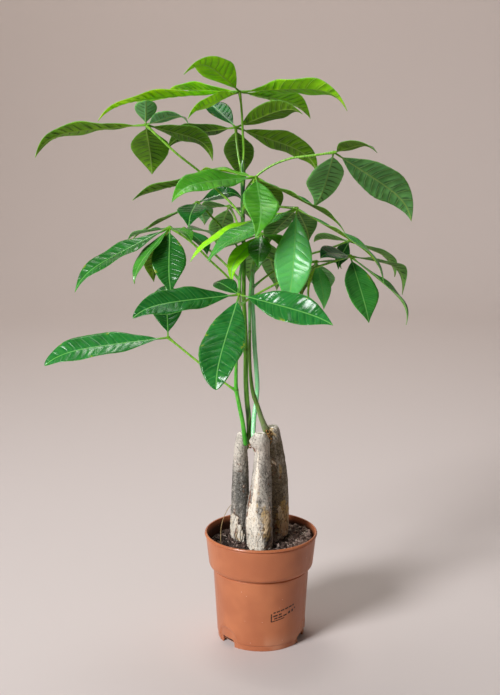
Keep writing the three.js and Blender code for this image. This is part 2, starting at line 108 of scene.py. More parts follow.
def closedSkin(rings, values=None):
    # Rows of rings, each row counter-clockwise seen from where the rows lead: quads join the rows,
    # and a fan to the row's own middle closes each end. Values go along as they are.
    rows, columns = rings.shape[:2]
    count = rows * columns
    at = np.arange(count).reshape(rows, columns)
    nextAt = np.roll(at, -1, axis=1)
    quads = np.stack([at[:-1], nextAt[:-1], nextAt[1:], at[1:]], -1).reshape(-1, 4)
    first = np.stack([np.full(columns, count), nextAt[0], at[0]], -1)
    last = np.stack([np.full(columns, count + 1), at[-1], nextAt[-1]], -1)
    points = np.concatenate([rings.reshape(-1, 3), rings[:1].mean(1), rings[-1:].mean(1)])
    return points, quads, np.concatenate([first, last]), values or {}


def spread(rings, grids):
    # For each named grid, a value for each point of the rings' closed skin: the grid's own, then the
    # mean of the first and of the last row for the poles.
    lists = {}
    for key, grid in grids.items():
        grid = np.broadcast_to(grid, rings.shape[:2])
        lists[key] = np.concatenate([grid.ravel(), grid[:1].mean(1), grid[-1:].mean(1)])
    return lists


def joined(parts):
    # Several (points, quads, triangles, values) put together as one.
    allPoints, allQuads, allTriangles, allValues, start = [], [], [], {}, 0
    for points, quads, triangles, values in parts:
        allPoints.append(points)
        allQuads.append(np.asarray(quads, int).reshape(-1, 4) + start)
        allTriangles.append(np.asarray(triangles, int).reshape(-1, 3) + start)
        for key, value in values.items():
            allValues.setdefault(key, []).append(np.broadcast_to(value, len(points)))
        start += len(points)
    values = {key: np.concatenate(value) for key, value in allValues.items()}
    return np.concatenate(allPoints), np.concatenate(allQuads), np.concatenate(allTriangles), values


def putMesh(name, points, quads, triangles, values=None):
    # Points in mm, faces as whole arrays, and one float attribute for each named list of values.
    mesh = bpy.data.meshes.new(name)
    corners = np.concatenate([np.ravel(quads), np.ravel(triangles)]).astype(np.int32)
    sizes = np.concatenate([np.full(len(quads), 4), np.full(len(triangles), 3)])
    starts = np.concatenate([[0], np.cumsum(sizes)[:-1]]).astype(np.int32)
    mesh.vertices.add(len(points))
    mesh.vertices.foreach_set("co", (points * millimetre).astype(np.float32).ravel())
    mesh.loops.add(len(corners))
    mesh.loops.foreach_set("vertex_index", corners)
    mesh.polygons.add(len(sizes))
    mesh.polygons.foreach_set("loop_start", starts)
    mesh.update(calc_edges=True)
    for key, value in (values or {}).items():
        attribute = mesh.attributes.new(key, "FLOAT", "POINT")
        attribute.data.foreach_set("value", np.asarray(value, np.float32))
    mesh.shade_smooth()
    made = bpy.data.objects.new(name, mesh)
    bpy.context.scene.collection.objects.link(made)
    return made


def finishPiece(piece, material, nodes=()):
    # Gives the piece its material and body, and hides the CAD nodes that it stands for.
    piece.data.materials.clear()
    piece.data.materials.append(material)
    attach(piece, "root")
    if nodes:
        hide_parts(*nodes)
    piece.data.calc_loop_triangles()
    totals["pieces"] += 1
    totals["triangles"] += len(piece.data.loop_triangles)
    return piece


def linear(code):
    # An sRGB hex colour as linear red, green, blue and a full alpha.
    parts = [int(code[i:i + 2], 16) / 255 for i in (1, 3, 5)]
    return tuple(c / 12.92 if c <= 0.04045 else ((c + 0.055) / 1.055) ** 2.4 for c in parts) + (1,)


# Settings of Math nodes: a b, a + b, a - b and a b + c.
times, plus, minus, scaledPlus = [
    {"operation": way} for way in ("MULTIPLY", "ADD", "SUBTRACT", "MULTIPLY_ADD")]


def feed(node, inputs):
    # Links a socket to the input of that name or number, and sets any other value on it.
    for key, value in inputs.items():
        if isinstance(value, bpy.types.NodeSocket):
            node.id_data.links.new(value, node.inputs[key])
        else:
            node.inputs[key].default_value = value


def addNode(tree, kind, inputs=(), output=0, **settings):
    # Adds a node with its settings and links, and gives one of its outputs.
    node = tree.nodes.new("ShaderNode" + kind)
    for key, value in settings.items():
        setattr(node, key, value)
    feed(node, inputs if isinstance(inputs, dict) else dict(enumerate(inputs)))
    return node.outputs[output]


def newMaterial(name, grains=()):
    # A material, its shader, addNode for its tree, the point's own place in metres, and a cloudy
    # field for each grain (patch size in mm, detail, roughness, stretch, shift).
    material = bpy.data.materials.new(name)
    material.use_nodes = True
    add = functools.partial(addNode, material.node_tree)
    where, fields = add("TexCoord", output="Object"), []
    for size, detail, rough, *moves in grains:
        moved = {"Vector": where, **dict(zip(("Scale", "Location"), moves))}
        noise = {"Vector": add("Mapping", moved), "Scale": 1 / (size * millimetre), "Detail": detail}
        fields.append(add("TexNoise", {**noise, "Roughness": rough}))
    return material, material.node_tree.nodes["Principled BSDF"], add, where, fields


def share(add, *fields):
    # The product of sockets and numbers. A row (value, low, high, from, to) stands for the smooth
    # step of its value between low and high, which goes from 0 to 1 or as the row says.
    product = None
    for field in fields:
        if isinstance(field, tuple):
            field = add("MapRange", field, interpolation_type="SMOOTHSTEP")
        product = field if product is None else add("Math", (product, field), **times)
    return product


def painted(add, base, layers):
    # Lays tints over a base, one after another: each layer is a tint and the fields whose product
    # says how much of it shows. Base and tints are hex colours or sockets.
    colour = linear(base) if isinstance(base, str) else base
    for tint, *fields in layers:
        tint = linear(tint) if isinstance(tint, str) else tint
        colour = add("Mix", {0: share(add, *fields), 6: colour, 7: tint}, 2, data_type="RGBA")
    return colour


pot = {
    "rimRadius": 60, "height": 116, "wall": 1.6, "sectors": 200, "step": 1.6, "oval": 0.06,
    "footRadius": 46, "footRing": 2.6, "floorUnder": 3.4, "floorTop": 5, "restDisc": 12, "restSlope": 3,
    "wallTop": (51, 78.2), "collarFoot": (55.5, 84.4), "collarTop": 59.1, "lipHeight": 3,
    # Corners of the outline as (radius, height, rounding). The undercut's heights count from the
    # wall's top, and the lip's from its own foot, with how far in from the rim in the radius's place.
    "ledge": [(46.1, 5.6, 0.2), (46.9, 6.4, 0.3)],
    "undercut": [(50.85, -2.0, 0.3), (49.9, -1.5, 0.2), (49.9, -0.1, 0.2), (51.8, 0.3, 0.4),
                 (53.5, 0.9, 0.5), (54.7, 2.1, 0.5), (55.4, 4.2, 0.5)],
    "lip": [(1.9, -0.5, 0.15), (1.8, 0.1, 0.15), (0.4, 0.3, 0.3), (0.02, 0.8, 0.4), (0.1, 1.5, 0.4),
            (0.55, 2.4, 0.5), (1.3, 2.95, 0.5)],
    "plainFloor": (17, 41), "plainWall": (8, 68),  # radii and heights where few rings will do
    "slots": 3, "firstSlot": -50, "slotWidth": 18, "slotHeight": 8, "slotCorner": 2.5, "slotReach": 56,
    "archWidth": 28, "archHeight": 20, "archDepth": 1.0, "archRidge": 0.5,
    "holes": 5, "holeRadius": 4, "holeCircle": 28, "holeEnds": (-2, 4.6),
    "lit": "#c0764e", "deep": "#b26a46", "dust": "#dcae90", "insideShade": "#230c05", "ink": "#1c0f0c",
    "speck": "#f0d8c8", "specksPerMetre": 110, "roughness": 0.34,
    "grains": [(35, 2, 0.55), (0.9, 4, 0.55), (2.2, 2, 0.55, (1, 1, 0.08))],
}


def outerRadius(z):
    # The pot's outside below its lip: straight lines through the foot, the wall's top and the collar.
    heights = [0, pot["wallTop"][1], pot["collarFoot"][1], pot["height"]]
    radii = [pot["footRadius"], pot["wallTop"][0], pot["collarFoot"][0], pot["collarTop"]]
    return np.interp(z, heights, radii)


def roundedProfile(corners, step):
    # Straight runs between corners (radius, height, cut). The curve (1-t)² a + 2t(1-t) corner + t² b
    # cuts off each corner, where a and b lie `cut` before and after it, or less on a short run.
    spots = [np.array(corners[0][:2], float)]
    for before, corner, after in zip(corners, corners[1:], corners[2:]):
        here = np.array(corner[:2], float)
        back, ahead = np.array(before[:2], float) - here, np.array(after[:2], float) - here
        back = unit(back) * min(corner[2], 0.45 * np.linalg.norm(back))
        ahead = unit(ahead) * min(corner[2], 0.45 * np.linalg.norm(ahead))
        t = np.linspace(0, 1, 5)[:, None]
        spots.extend((1 - t)**2 * (here + back) + 2 * t * (1 - t) * here + t**2 * (here + ahead))
    spots.append(np.array(corners[-1][:2], float))
    line = [spots[0]]
    for a, b in zip(spots, spots[1:]):
        count = max(1, int(np.linalg.norm(b - a) / step))
        line.extend(a + (b - a) * k / count for k in range(1, count + 1))
    return np.array(line)


def slotTurns():
    # The directions of the foot's slots, which are also the arches' middles.
    return np.radians(pot["firstSlot"] + 360 * np.arange(pot["slots"]) / pot["slots"] - 90)


def archDepth(angle, z, radius):
    # How far the wall sinks under the arches over the slots: full depth inside an arch with straight
    # sides and a round head, none outside, and a low ridge along its edge.
    sink = np.zeros(np.broadcast(angle, z).shape)
    corner = pot["archWidth"] / 2 - 1
    shoulder = pot["archHeight"] - corner
    for middle in slotTurns():
        across = np.abs(radius * np.sin(angle - middle))
        head = corner - np.hypot(np.maximum(across - 1, 0), z - shoulder)
        inside = np.where(z < shoulder, pot["archWidth"] / 2 - across, head)
        inside = np.where(np.cos(angle - middle) > 0, inside, -99.0)
        ridge = pot["archRidge"] * np.exp(-((inside + 1.0) / 0.8)**2)
        sink += pot["archDepth"] * ramp(-0.1, 1.1, inside) - ridge
    return sink


def prism(outline, low, high, turn):
    # A flat outline (across, up) carried along the radius from low to high, turned about +Z.
    across, up = np.array(outline).T
    x, y = turnedFlat(np.array([[low], [high]]), across[None, :], turn)
    return closedSkin(np.stack(np.broadcast_arrays(x, y, up), -1))


def potCutters():
    # A prism with two round corners for each slot in the foot, and an upright rod for each drain hole.
    half, top, corner = pot["slotWidth"] / 2, pot["slotHeight"], pot["slotCorner"]
    bend = np.linspace(0, math.pi / 2, 6)
    outline = [(-half, -2), (half, -2)]
    outline += [(half - corner + corner * math.cos(a), top - corner + corner * math.sin(a)) for a in bend]
    outline += [(corner - half - corner * math.sin(a), top - corner + corner * math.cos(a)) for a in bend]
    footInside = pot["footRadius"] - pot["footRing"]
    parts = [prism(outline, footInside - 1, pot["slotReach"], turn) for turn in slotTurns()]
    angle, z = evenAngles(24), np.array(pot["holeEnds"])[:, None]
    for i in range(pot["holes"]):
        x, y = turnedFlat(pot["holeCircle"], 0, 2 * math.pi * i / pot["holes"])
        parts.append(closedSkin(around(pot["holeRadius"], angle, z, x, y)))
    return putMesh("potCutters", *joined(parts))


def buildPot():
    # The outline runs from the floor's middle out, up the outside, over the lip and down the inside,
    # and is turned about +Z. The arches sink into the foot, and slots and holes are cut out.
    lipFoot, top = pot["height"] - pot["lipHeight"], pot["height"]
    wallZ, stepZ = pot["wallTop"][1], pot["collarFoot"][1]
    inside = [float(outerRadius(z)) - pot["wall"] for z in (top, stepZ, wallZ, pot["floorTop"])]
    footInside = pot["footRadius"] - pot["footRing"]
    corners = [
        (0.4, 0, 0), (pot["restDisc"], 0, 0.4),
        (pot["restDisc"] + pot["restSlope"], pot["floorUnder"], 0.6),
        (footInside, pot["floorUnder"], 0.4), (footInside, 0, 0.4), (pot["footRadius"], 0, 0.7),
        *pot["ledge"],
        *[(radius, wallZ + z, cut) for radius, z, cut in pot["undercut"]],
        (float(outerRadius(lipFoot - 0.9)), lipFoot - 0.9, 0.2),
        *[(pot["rimRadius"] - inward, lipFoot + z, cut) for inward, z, cut in pot["lip"]],
        (inside[0], top - 0.3, 0.6), (inside[1], stepZ, 1.5), (inside[2], wallZ, 1.5),
        (inside[3], pot["floorTop"], 1.0), (0.4, pot["floorTop"], 0),
    ]
    line = roundedProfile(corners, pot["step"])
    # The floor's flat run and the wall's inside are plain, so only every fourth ring is kept there.
    radius, z = line.T
    (near, far), (low, high) = pot["plainFloor"], pot["plainWall"]
    plain = ((radius > near) & (radius < far)) | ((z > low) & (z < high))
    plain &= radius < outerRadius(z) - 1.2
    line = line[~plain | (np.arange(len(line)) % 4 == 0)]
    angle = evenAngles(pot["sectors"])
    radius, z = line[:, :1], line[:, 1:]
    outside = (radius > outerRadius(z) - 0.9) & (z > 0.05) & (z < pot["archHeight"] + 10)
    reach = radius - np.where(outside, archDepth(angle, z, radius), 0)
    reach = reach + pot["oval"] * (np.sin(2 * angle + 0.8) - 1) * ramp(90, 110, z)
    body = putMesh("potBody", *closedSkin(around(reach, angle, z)))
    cutters = potCutters()
    cut = body.modifiers.new("slots", "BOOLEAN")
    cut.object = cutters
    cut.solver = "EXACT"
    done = bpy.data.meshes.new_from_object(body.evaluated_get(bpy.context.evaluated_depsgraph_get()))
    body.modifiers.clear()
    body.data = done
    bpy.data.objects.remove(cutters)
    done.shade_smooth()
    done.set_sharp_from_angle(angle=math.radians(40))
    return finishPiece(body, pottedPlastic(), ["pot"])


def pottedPlastic():
    # Injection-moulded polypropylene: satin, faint flow marks down the wall, dust and scuffs low down,
    # and painted shade on the inside wall from the mix up to a few mm under the lip.
    name = "mouldedPolypropylene"
    material, shader, add, where, (cloud, fine, flow) = newMaterial(name, pot["grains"])
    height = add("SeparateXYZ", (add("Mapping", {"Vector": where, "Scale": inMm}),), 2)
    flat = add("Mapping", {"Vector": where, "Scale": (1000, 1000, 0)})
    reach = add("VectorMath", (flat,), 1, operation="LENGTH")
    # The depth under the collar's own cone, with zero in the middle of its wall.
    slope = (pot["collarTop"] - pot["collarFoot"][0]) / (pot["height"] - pot["collarFoot"][1])
    shell = pot["collarTop"] - slope * pot["height"] - pot["wall"] / 2
    depth = add("Math", (add("Math", (height, -slope, reach), **scaledPlus), shell), **minus)
    specks = add("TexVoronoi", {"Vector": where, "Scale": pot["specksPerMetre"]})
    colour = painted(add, pot["deep"], [
        (pot["lit"], (cloud, 0.35, 0.7)),
        (pot["dust"], (fine, 0.62, 0.8, 0, 0.25)),
        (pot["dust"], (height, 22, 0), (cloud, 0.45, 0.62, 0, 0.35)),
        # Painted shade: the inside wall goes dark from the mix up to a few mm under the lip.
        (pot["insideShade"], (depth, 0.2, -0.3), (height, 114.5, 108), (height, 90, 94), 0.92),
        (pot["speck"], (specks, 0.055, 0.03, 0, 0.5)),
        (pot["ink"], inkMarks(add, where, fine)),
    ])
    satin = share(add, (flow, 0.3, 0.75, pot["roughness"] - 0.05, pot["roughness"] + 0.12))
    lipGloss = share(add, (height, 113.8, 114.6, 0, 0.12))
    uneven = add("Math", (flow, 1.5, fine), **scaledPlus)
    feed(shader, {
        "Base Color": colour, "Roughness": add("Math", (satin, lipGloss), **minus),
        "IOR": 1.49, "Specular IOR Level": 0.42,
        "Normal": add("Bump", {"Height": uneven, "Distance": 0.12 * millimetre, "Strength": 0.35}),
    })
    return material


ink = {
    # Plain slanting bars where the pot is stamped: (middle across, middle up, half width, half height).
    "bars": [(-11.2, 3.2, 1.2, 0.75), (-7.2, 3.2, 1.8, 0.75), (-2.4, 3.2, 2.1, 0.75),
             (2.6, 3.2, 2.0, 0.75), (7.2, 3.2, 1.7, 0.75), (10.9, 3.2, 1.1, 0.75),
             (-10.4, -0.6, 2.7, 0.85), (-5.0, -0.6, 1.6, 0.85), (-9.6, -3.6, 1.9, 0.8),
             (-4.7, -3.6, 2.3, 0.8), (0.7, -3.6, 2.2, 0.8), (5.8, -2.6, 1.4, 1.3),
             (9.9, -2.4, 1.0, 1.4), (13.2, -1.2, 0.8, 0.8), (-14.4, -1.6, 0.6, 4.3),
             (-7.2, -6.1, 7.2, 0.55)],
    "facing": 29.5, "height": 42.5, "slope": 0.2, "wear": 0.6,
}


def inkMarks(add, where, wear):
    # 1 on the bars, worn away by noise. The wall is turned so that x runs across the stamp's middle.
    facing = (0, 0, -math.radians(ink["facing"]))
    turned = add("Mapping", {"Vector": where, "Rotation": facing, "Scale": inMm})
    x, y, z = add("SeparateXYZ", (turned,)).node.outputs
    up = add("Math", (x, -ink["slope"], add("Math", (z, ink["height"]), **minus)), **scaledPlus)
    marks = 0.0
    for middle, level, wide, tall in ink["bars"]:
        across, above = [add("Math", (add("Math", (value, centre), **minus),), operation="ABSOLUTE")
                         for value, centre in ((x, middle), (up, level))]
        bar = share(add, (across, wide + 0.25, wide - 0.15), (above, tall + 0.25, tall - 0.15))
        marks = add("Math", (marks, bar), operation="MAXIMUM")
    return share(add, marks, (y, 0, -10), (wear, ink["wear"] - 0.12, ink["wear"] + 0.14, 1.0, 0.3))


# Sections from the foot in the soil to the cut top as (z, x, y, radius). Peels, ochres, rusts and
# dark patches are patches (degrees round from +X, z, half width in degrees, half height, strength),
# scars are (degrees, z, size, rise), and shades say how dark the bark is at a height: (z, darkness).
# Shades and dark patches are partly painted shade, mostly where the trunks shadow each other.
trunks = {
    "trunk_left": {
        "sections": [(66, -22, 8, 6.5), (74, -22, 8, 9), (100, -22.3, 8, 10.3), (126, -22.3, 8, 10.6),
                     (147, -21.8, 8, 10.2), (165, -21.9, 8, 9.4), (180, -22, 8, 8.6),
                     (192, -21.9, 8, 7.8), (202, -21.6, 8, 7), (211, -21, 8, 6.2), (217, -20.5, 8, 5.2),
                     (220.5, -20.2, 8, 4.2), (222, -20.2, 8, 2.8)],
        "peels": [(-128, 128, 26, 10, 1.1), (-150, 118, 20, 12, 0.9), (-92, 116, 15, 9, 1.0),
                  (-75, 106, 18, 8, 0.9), (40, 125, 30, 14, 0.9), (150, 135, 22, 12, 0.8)],
        "ochres": [(-100, 110, 30, 8, 0.5), (60, 112, 40, 10, 0.5)],
        "rusts": [(-118, 122, 8, 16, 0.6), (-20, 205, 30, 8, 0.4)],
        "scars": [(-100, 196, 7, 1.2), (-60, 172, 6, 1.0), (95, 180, 7, 1.2)],
        "shades": [(100, 0.45), (128, 0.8), (150, 1.0), (172, 0.85), (188, 0.4), (205, 0.15)],
        "darkAndShadedPatches": [(-40, 150, 40, 30, 0.4), (-60, 112, 14, 12, 0.8)],
        "brown": 0.1, "rim": 0.1, "seed": 5,
    },
    "trunk_front": {
        "sections": [(62, -1.5, -17, 8), (72, -1.5, -17, 12), (92, -1.4, -17, 13.2),
                     (106, -1.4, -17, 13.6), (120, -1.6, -17, 14.6), (133, -1.9, -17, 14.8),
                     (154, -1.4, -17, 13.2), (166, -0.6, -17, 12), (176, 0, -17, 10.9),
                     (187, 0.3, -17, 9.7), (198, 0.4, -17, 8.6), (209, 0.2, -17, 8),
                     (214, -1, -17, 9.1), (219, -1.6, -17, 9.5), (223, -1.5, -17, 8),
                     (226, -1.3, -17, 5.6), (227.3, -1.3, -17, 4.2)],
        "peels": [(-118, 188, 9, 18, 1.2), (-117, 162, 12, 18, 1.2), (-112, 136, 22, 18, 1.2),
                  (-100, 112, 44, 16, 1.4), (-150, 128, 14, 20, 0.9), (30, 130, 26, 18, 0.9),
                  (110, 150, 24, 22, 0.9), (-62, 134, 12, 12, 0.7), (-60, 116, 12, 9, -1.3),
                  (-92, 142, 5, 9, -0.5)],
        "ochres": [(-62, 138, 20, 16, 1.0), (-55, 124, 22, 8, 0.9), (-104, 150, 9, 18, 0.5),
                   (140, 120, 30, 10, 0.7)],
        "rusts": [(-152, 211, 20, 4, 1.2), (-148, 152, 9, 24, 1.0), (-156, 126, 8, 16, 0.9),
                  (-45, 160, 10, 30, 0.4)],
        "scars": [(-150, 219, 9, 1.4), (-35, 150, 9, 1.0), (-75, 180, 7, 0.8), (60, 170, 9, 1.2)],
        "shades": [(100, 0.3), (125, 0.25), (150, 0.45), (185, 0.4), (200, 0.2), (215, 0.1)],
        "darkAndShadedPatches": [(-62, 119, 15, 13, 0.9), (-75, 165, 20, 22, 0.25), (-160, 150, 20, 40, 0.3)],
        "brown": 0.15, "rim": 1.0, "seed": 11,
    },
    "trunk_right": {
        "sections": [(62, 17, 12, 7.5), (72, 17, 12, 11), (96, 17.3, 12, 12), (114, 17.6, 12, 12.4),
                     (130, 18, 12, 12.9), (144, 18, 12, 12.8), (157, 17.6, 12, 12.4),
                     (174, 16.6, 12, 11.6), (190, 15, 12, 10.6), (202, 13.6, 12, 9.8),
                     (212, 12.4, 12, 9), (220, 11.8, 12, 8), (225, 11.7, 12, 6.6),
                     (227.6, 11.7, 12, 4.6)],
        "peels": [(-66, 119, 12, 12, 0.9), (-27, 127, 16, 16, 1.4), (-85, 106, 14, 6, 0.8),
                  (-80, 132, 9, 9, 0.7), (100, 140, 26, 20, 0.9), (160, 120, 24, 14, 0.8),
                  (-66, 184, 5, 2, 0.9), (-72, 176, 4, 1.6, 0.8)],
        "ochres": [(-66, 182, 9, 6, 1.1), (-120, 222, 50, 5, 1.4), (-62, 130, 38, 18, 1.1),
                   (-30, 122, 34, 18, 0.8), (90, 120, 40, 12, 0.7)],
        "rusts": [(-150, 221, 40, 6, 1.1), (-70, 174, 8, 5, 0.7), (-100, 118, 20, 12, 0.6)],
        "scars": [(-66, 184, 6, 1.2), (-90, 214, 8, 1.2), (-40, 200, 6, 0.9), (80, 190, 8, 1.2)],
        "shades": [(100, 0.35), (130, 0.5), (150, 0.9), (165, 1.0), (200, 0.9), (214, 0.75),
                   (223, 0.35)],
        "darkAndShadedPatches": [(-125, 180, 25, 50, 0.7), (-100, 140, 20, 30, 0.5)],
        "brown": 0.75, "rim": 0.6, "seed": 23,
    },
}
bark = {
    "columns": 144, "rowStep": 0.8, "wrinkle": 0.3, "fissure": 0.9, "peelRise": 0.45, "crust": 3.2,
    "oval": 0.05, "threeSided": 0.035, "footPeel": 0.3,
    # Heights between which each comes in: peeled feet, rings, fissures and dark cracks.
    "peelHeights": (165, 108), "ringHeights": (150, 185), "fissureHeights": (170, 115),
    "crackHeights": (160, 118),
    # Rings that close the cut over the last row: (share of its radius, height over it).
    "cutRings": [(1.0, 0.0), (0.985, 0.0), (0.93, -0.15), (0.82, -0.55), (0.6, -0.8), (0.35, -0.9),
                 (0.1, -0.95)],
    "grey": "#d2cabc", "darkGrey": "#5f6260", "pale": "#eae2d4", "cream": "#f2ead8", "tan": "#c9a878",
    "slate": "#7c8078", "ochre": "#d9b46c", "olive": "#7d6b44", "cut": "#f6efdf", "heart": "#8d7f69",
    "web": "#453e34", "hem": "#7a4a2e", "cell": 3.4, "smallCell": 2.0, "webBend": 2.2,
    "grains": [(1.0, 5, 0.75), (2.4, 4, 0.7), (3.0, 5, 0.75, (1, 1, 0.4)),
               (3.6, 5, 0.7, (1, 1, 0.3), (0.3, 0, 0)), (13, 3, 0.55, (1, 1, 0.5))],
}


def degreesOff(angle, degrees):
    # How far an angle lies from a direction, from -180 to 180 degrees.
    return (np.degrees(angle) - degrees + 180) % 360 - 180


def patchSum(patches, angle, z):
    # The sum of soft round patches: strength times exp(-(angle off / half)² - (height off / half)²).
    total = np.zeros(np.broadcast(angle, z).shape)
    for degrees, level, wide, tall, strength in patches:
        total += strength * np.exp(-(degreesOff(angle, degrees) / wide)**2 - ((z - level) / tall)**2)
    return total


def buildTrunk(name, values):
    # Nearly round sections: the radius runs smoothly through the sections, times one plus two slow
    # lobes that wind round it, plus wrinkles, fissures low down, peeling flakes and leaf scars.
    # Over the last row the cut closes with a thin rim, then a shallow dish.
    levels, xs, ys, radii = np.array(values["sections"], float).T
    top, seed = levels[-1], values["seed"]
    closing, dish = np.array(bark["cutRings"]).T
    z = np.arange(levels[0], top, bark["rowStep"])
    inward = np.concatenate([np.ones(len(z)), closing])[:, None]
    z = np.concatenate([z, top + dish])[:, None]
    at = np.minimum(z, top)
    angle = evenAngles(bark["columns"], -math.pi)
    x0, y0, radius = [smoothThrough(levels, row, at) for row in (xs, ys, radii)]
    radius = np.where(inward < 1, radii[-1], radius)
    lobes = bark["oval"] * np.sin(2 * angle + z / 31)
    lobes = lobes + bark["threeSided"] * np.sin(3 * angle - z / 17)
    base = around(radius, angle, at, x0, y0)

    def noise(size, step, stretch=1.0):
        # Its own smooth random field for each step, with patches drawn out along the trunk.
        return ripple(base * [1, 1, stretch], size, seed + step)

    # Painted shade: darkness by height plus the dark patches, most of which lie where the trunks shadow
    # each other.
    heights, darkness = np.array(values["shades"]).T
    shade = np.interp(z, heights, darkness) + patchSum(values["darkAndShadedPatches"], angle, z)
    crust = ramp(top - bark["crust"], top - 0.6, z + 1.6 * noise(3.5, 8))
    flaky = noise(13, 0, 0.45) + 0.6 * noise(4.5, 1)
    footPeel = bark["footPeel"] * ramp(*bark["peelHeights"], z)
    peel = patchSum(values["peels"], angle, z) + footPeel + 0.42 * flaky
    flake = ramp(0.62, 0.72, peel)
    ochre = patchSum(values["ochres"], angle, z) + 0.3 * noise(6, 2)
    rust = patchSum(values["rusts"], angle, z) + 0.3 * noise(4, 12)
    rings = 0.5 + 0.5 * np.sin(z / 1.9 + 1.5 * noise(22, 3))
    wrinkles = 0.55 * noise(3.2, 4, 1.6) + 0.6 * noise(9, 5)
    relief = bark["wrinkle"] * (wrinkles + 0.5 * rings * ramp(*bark["ringHeights"], z))
    cracks = np.abs(noise(4.5, 6, 0.22))
    relief -= bark["fissure"] * ramp(0.18, 0.0, cracks) * ramp(*bark["fissureHeights"], z)
    relief += bark["peelRise"] * (flake - 0.5) * ramp(1.0, 0.0, np.abs(peel - 0.67))
    relief += 0.5 * crust * noise(2.6, 9)
    for degrees, level, size, rise in values["scars"]:
        off = np.radians(degreesOff(angle, degrees)) * radius
        distance = np.hypot(off, (z - level) * 1.5) / size
        relief += rise * (np.exp(-(distance * 1.6)**2) - 0.45 * np.exp(-(distance * 4)**2))
    fade = inward**3 * ramp(levels[0], levels[0] + 6, z)
    points = around(inward * radius * (1 + lobes) + relief * fade, angle, z, x0, y0)
    rim = values["rim"] * ramp(top - 1.3, top - 0.5, z)
    made = putMesh(name + "_bark", *closedSkin(points, spread(points, {
        "peel": np.clip(peel, 0, 1.4), "ochre": np.clip(ochre, 0, 1.2), "rust": np.clip(rust, 0, 1.2),
        "crack": ramp(0.14, 0.02, cracks) * ramp(*bark["crackHeights"], z),
        "shade": np.clip(shade, 0, 1.3),
        "cut": np.maximum(ramp(1.0, 0.93, inward) * (inward < 0.999), rim),
        "heart": ramp(0.75, 0.45, inward), "brown": values["brown"], "crust": crust,
    })))
    return finishPiece(made, barkMaterial, [name])


def web(add, where, sizeMm, shift):
    # 1 on the thin crooked lines between cells about sizeMm wide, 0 inside the cells.
    moved = add("Mapping", {"Vector": where, "Location": (shift, 0, 0), "Rotation": (0.4, 0.3, 0.2)})
    noise = add("TexNoise", {"Vector": moved, "Scale": 500, "Detail": 3}, "Color")
    far = (bark["webBend"] * millimetre,) * 3
    bent = add("VectorMath", (noise, far, moved), **scaledPlus)
    cells = add("TexVoronoi", {"Vector": bent, "Scale": 1000 / sizeMm}, feature="DISTANCE_TO_EDGE")
    return share(add, (cells, 0.19, 0.03))


def moneyTreeBark():
    # Dry corky bark: matt grey with crooked dark pores and lengthwise clouds, darkened by painted shade
    # where the trunks shadow each other, rusty torn edges, pale crust round the cuts, and cream wood with
    # tan streaks where the outer skin has peeled.
    material, shader, add, where, fields = newMaterial("corkyTrunkBark", bark["grains"])
    fine, grit, ragged, streak, cloud = fields
    shade, brown, ochre, rust, peel, crack, crust, cut, heart = [
        add("Attribute", output="Fac", attribute_name=name)
        for name in ("shade", "brown", "ochre", "rust", "peel", "crack", "crust", "cut", "heart")]
    clouded = add("Math", (cloud, 1.8, -0.9), **scaledPlus)
    clouded = add("Math", (clouded, share(add, (streak, 0.35, 0.68, -0.3, 0.35))), **plus)
    shadow = add("Math", (shade, clouded), **plus)
    smallWeb = share(add, web(add, where, bark["smallCell"], 0.2), 0.5)
    lines = add("Math", (web(add, where, bark["cell"], 0.1), smallWeb), operation="MAXIMUM")
    rusty, edge, crusty = [add("Math", row, **scaledPlus) for row in (
        (ragged, 0.7, rust), (ragged, 0.9, peel), (grit, 0.6, crust))]
    dark = painted(add, bark["darkGrey"], [(bark["olive"], brown)])
    wood = painted(add, bark["cream"], [
        (bark["tan"], (ragged, 0.5, 0.66)),
        (bark["cream"], (fine, 0.45, 0.62, 0.6, 0.0)),
        (bark["ochre"], (ochre, 0.35, 0.9, 0, 0.6)),
    ])
    poreShare = share(
        add, (grit, 0.38, 0.58, 0.1, 0.85), (cloud, 0.36, 0.58, 0.4, 1.0), (shade, 0.1, 0.6, 0.4, 1.0))
    colour = painted(add, bark["grey"], [
        # Painted shade: dark grey where the trunk's shade, with random clouds on it, is high.
        (dark, (shadow, 0.0, 1.2, 0, 0.95)),
        (bark["slate"], (grit, 0.52, 0.68, 0, 0.45)),
        (bark["web"], lines, poreShare),
        (bark["pale"], (fine, 0.52, 0.64), (lines, 0.6, 0.1, 0, 0.7)),
        (bark["ochre"], (ochre, 0.25, 0.7), (grit, 0.3, 0.6, 0.9, 0.4)),
        (bark["hem"], (rusty, 0.75, 1.05, 0, 0.85)),
        # A torn hem round each peeled patch, the bare wood, and the pits and slivers left on it.
        (bark["hem"], (edge, 0.82, 0.97), (fine, 0.35, 0.6, 0.85, 0.3)),
        (wood, (edge, 0.98, 1.06)),
        (bark["web"], (grit, 0.56, 0.66, 0, 0.75), lines),
        (bark["web"], crack, 0.9),
        (bark["pale"], (crusty, 0.65, 0.95, 0, 0.8)),
        (bark["cut"], cut),
        (bark["heart"], heart, 0.8),
    ])
    uneven = add("Math", (lines, -0.35, add("Math", (fine, 0.6, ragged), **scaledPlus)), **scaledPlus)
    feed(shader, {
        "Base Color": colour, "Roughness": share(add, (grit, 0.3, 0.7, 0.72, 0.95)),
        "Normal": add("Bump", {"Height": uneven, "Distance": 0.8 * millimetre, "Strength": 0.9}),
    })
    return material


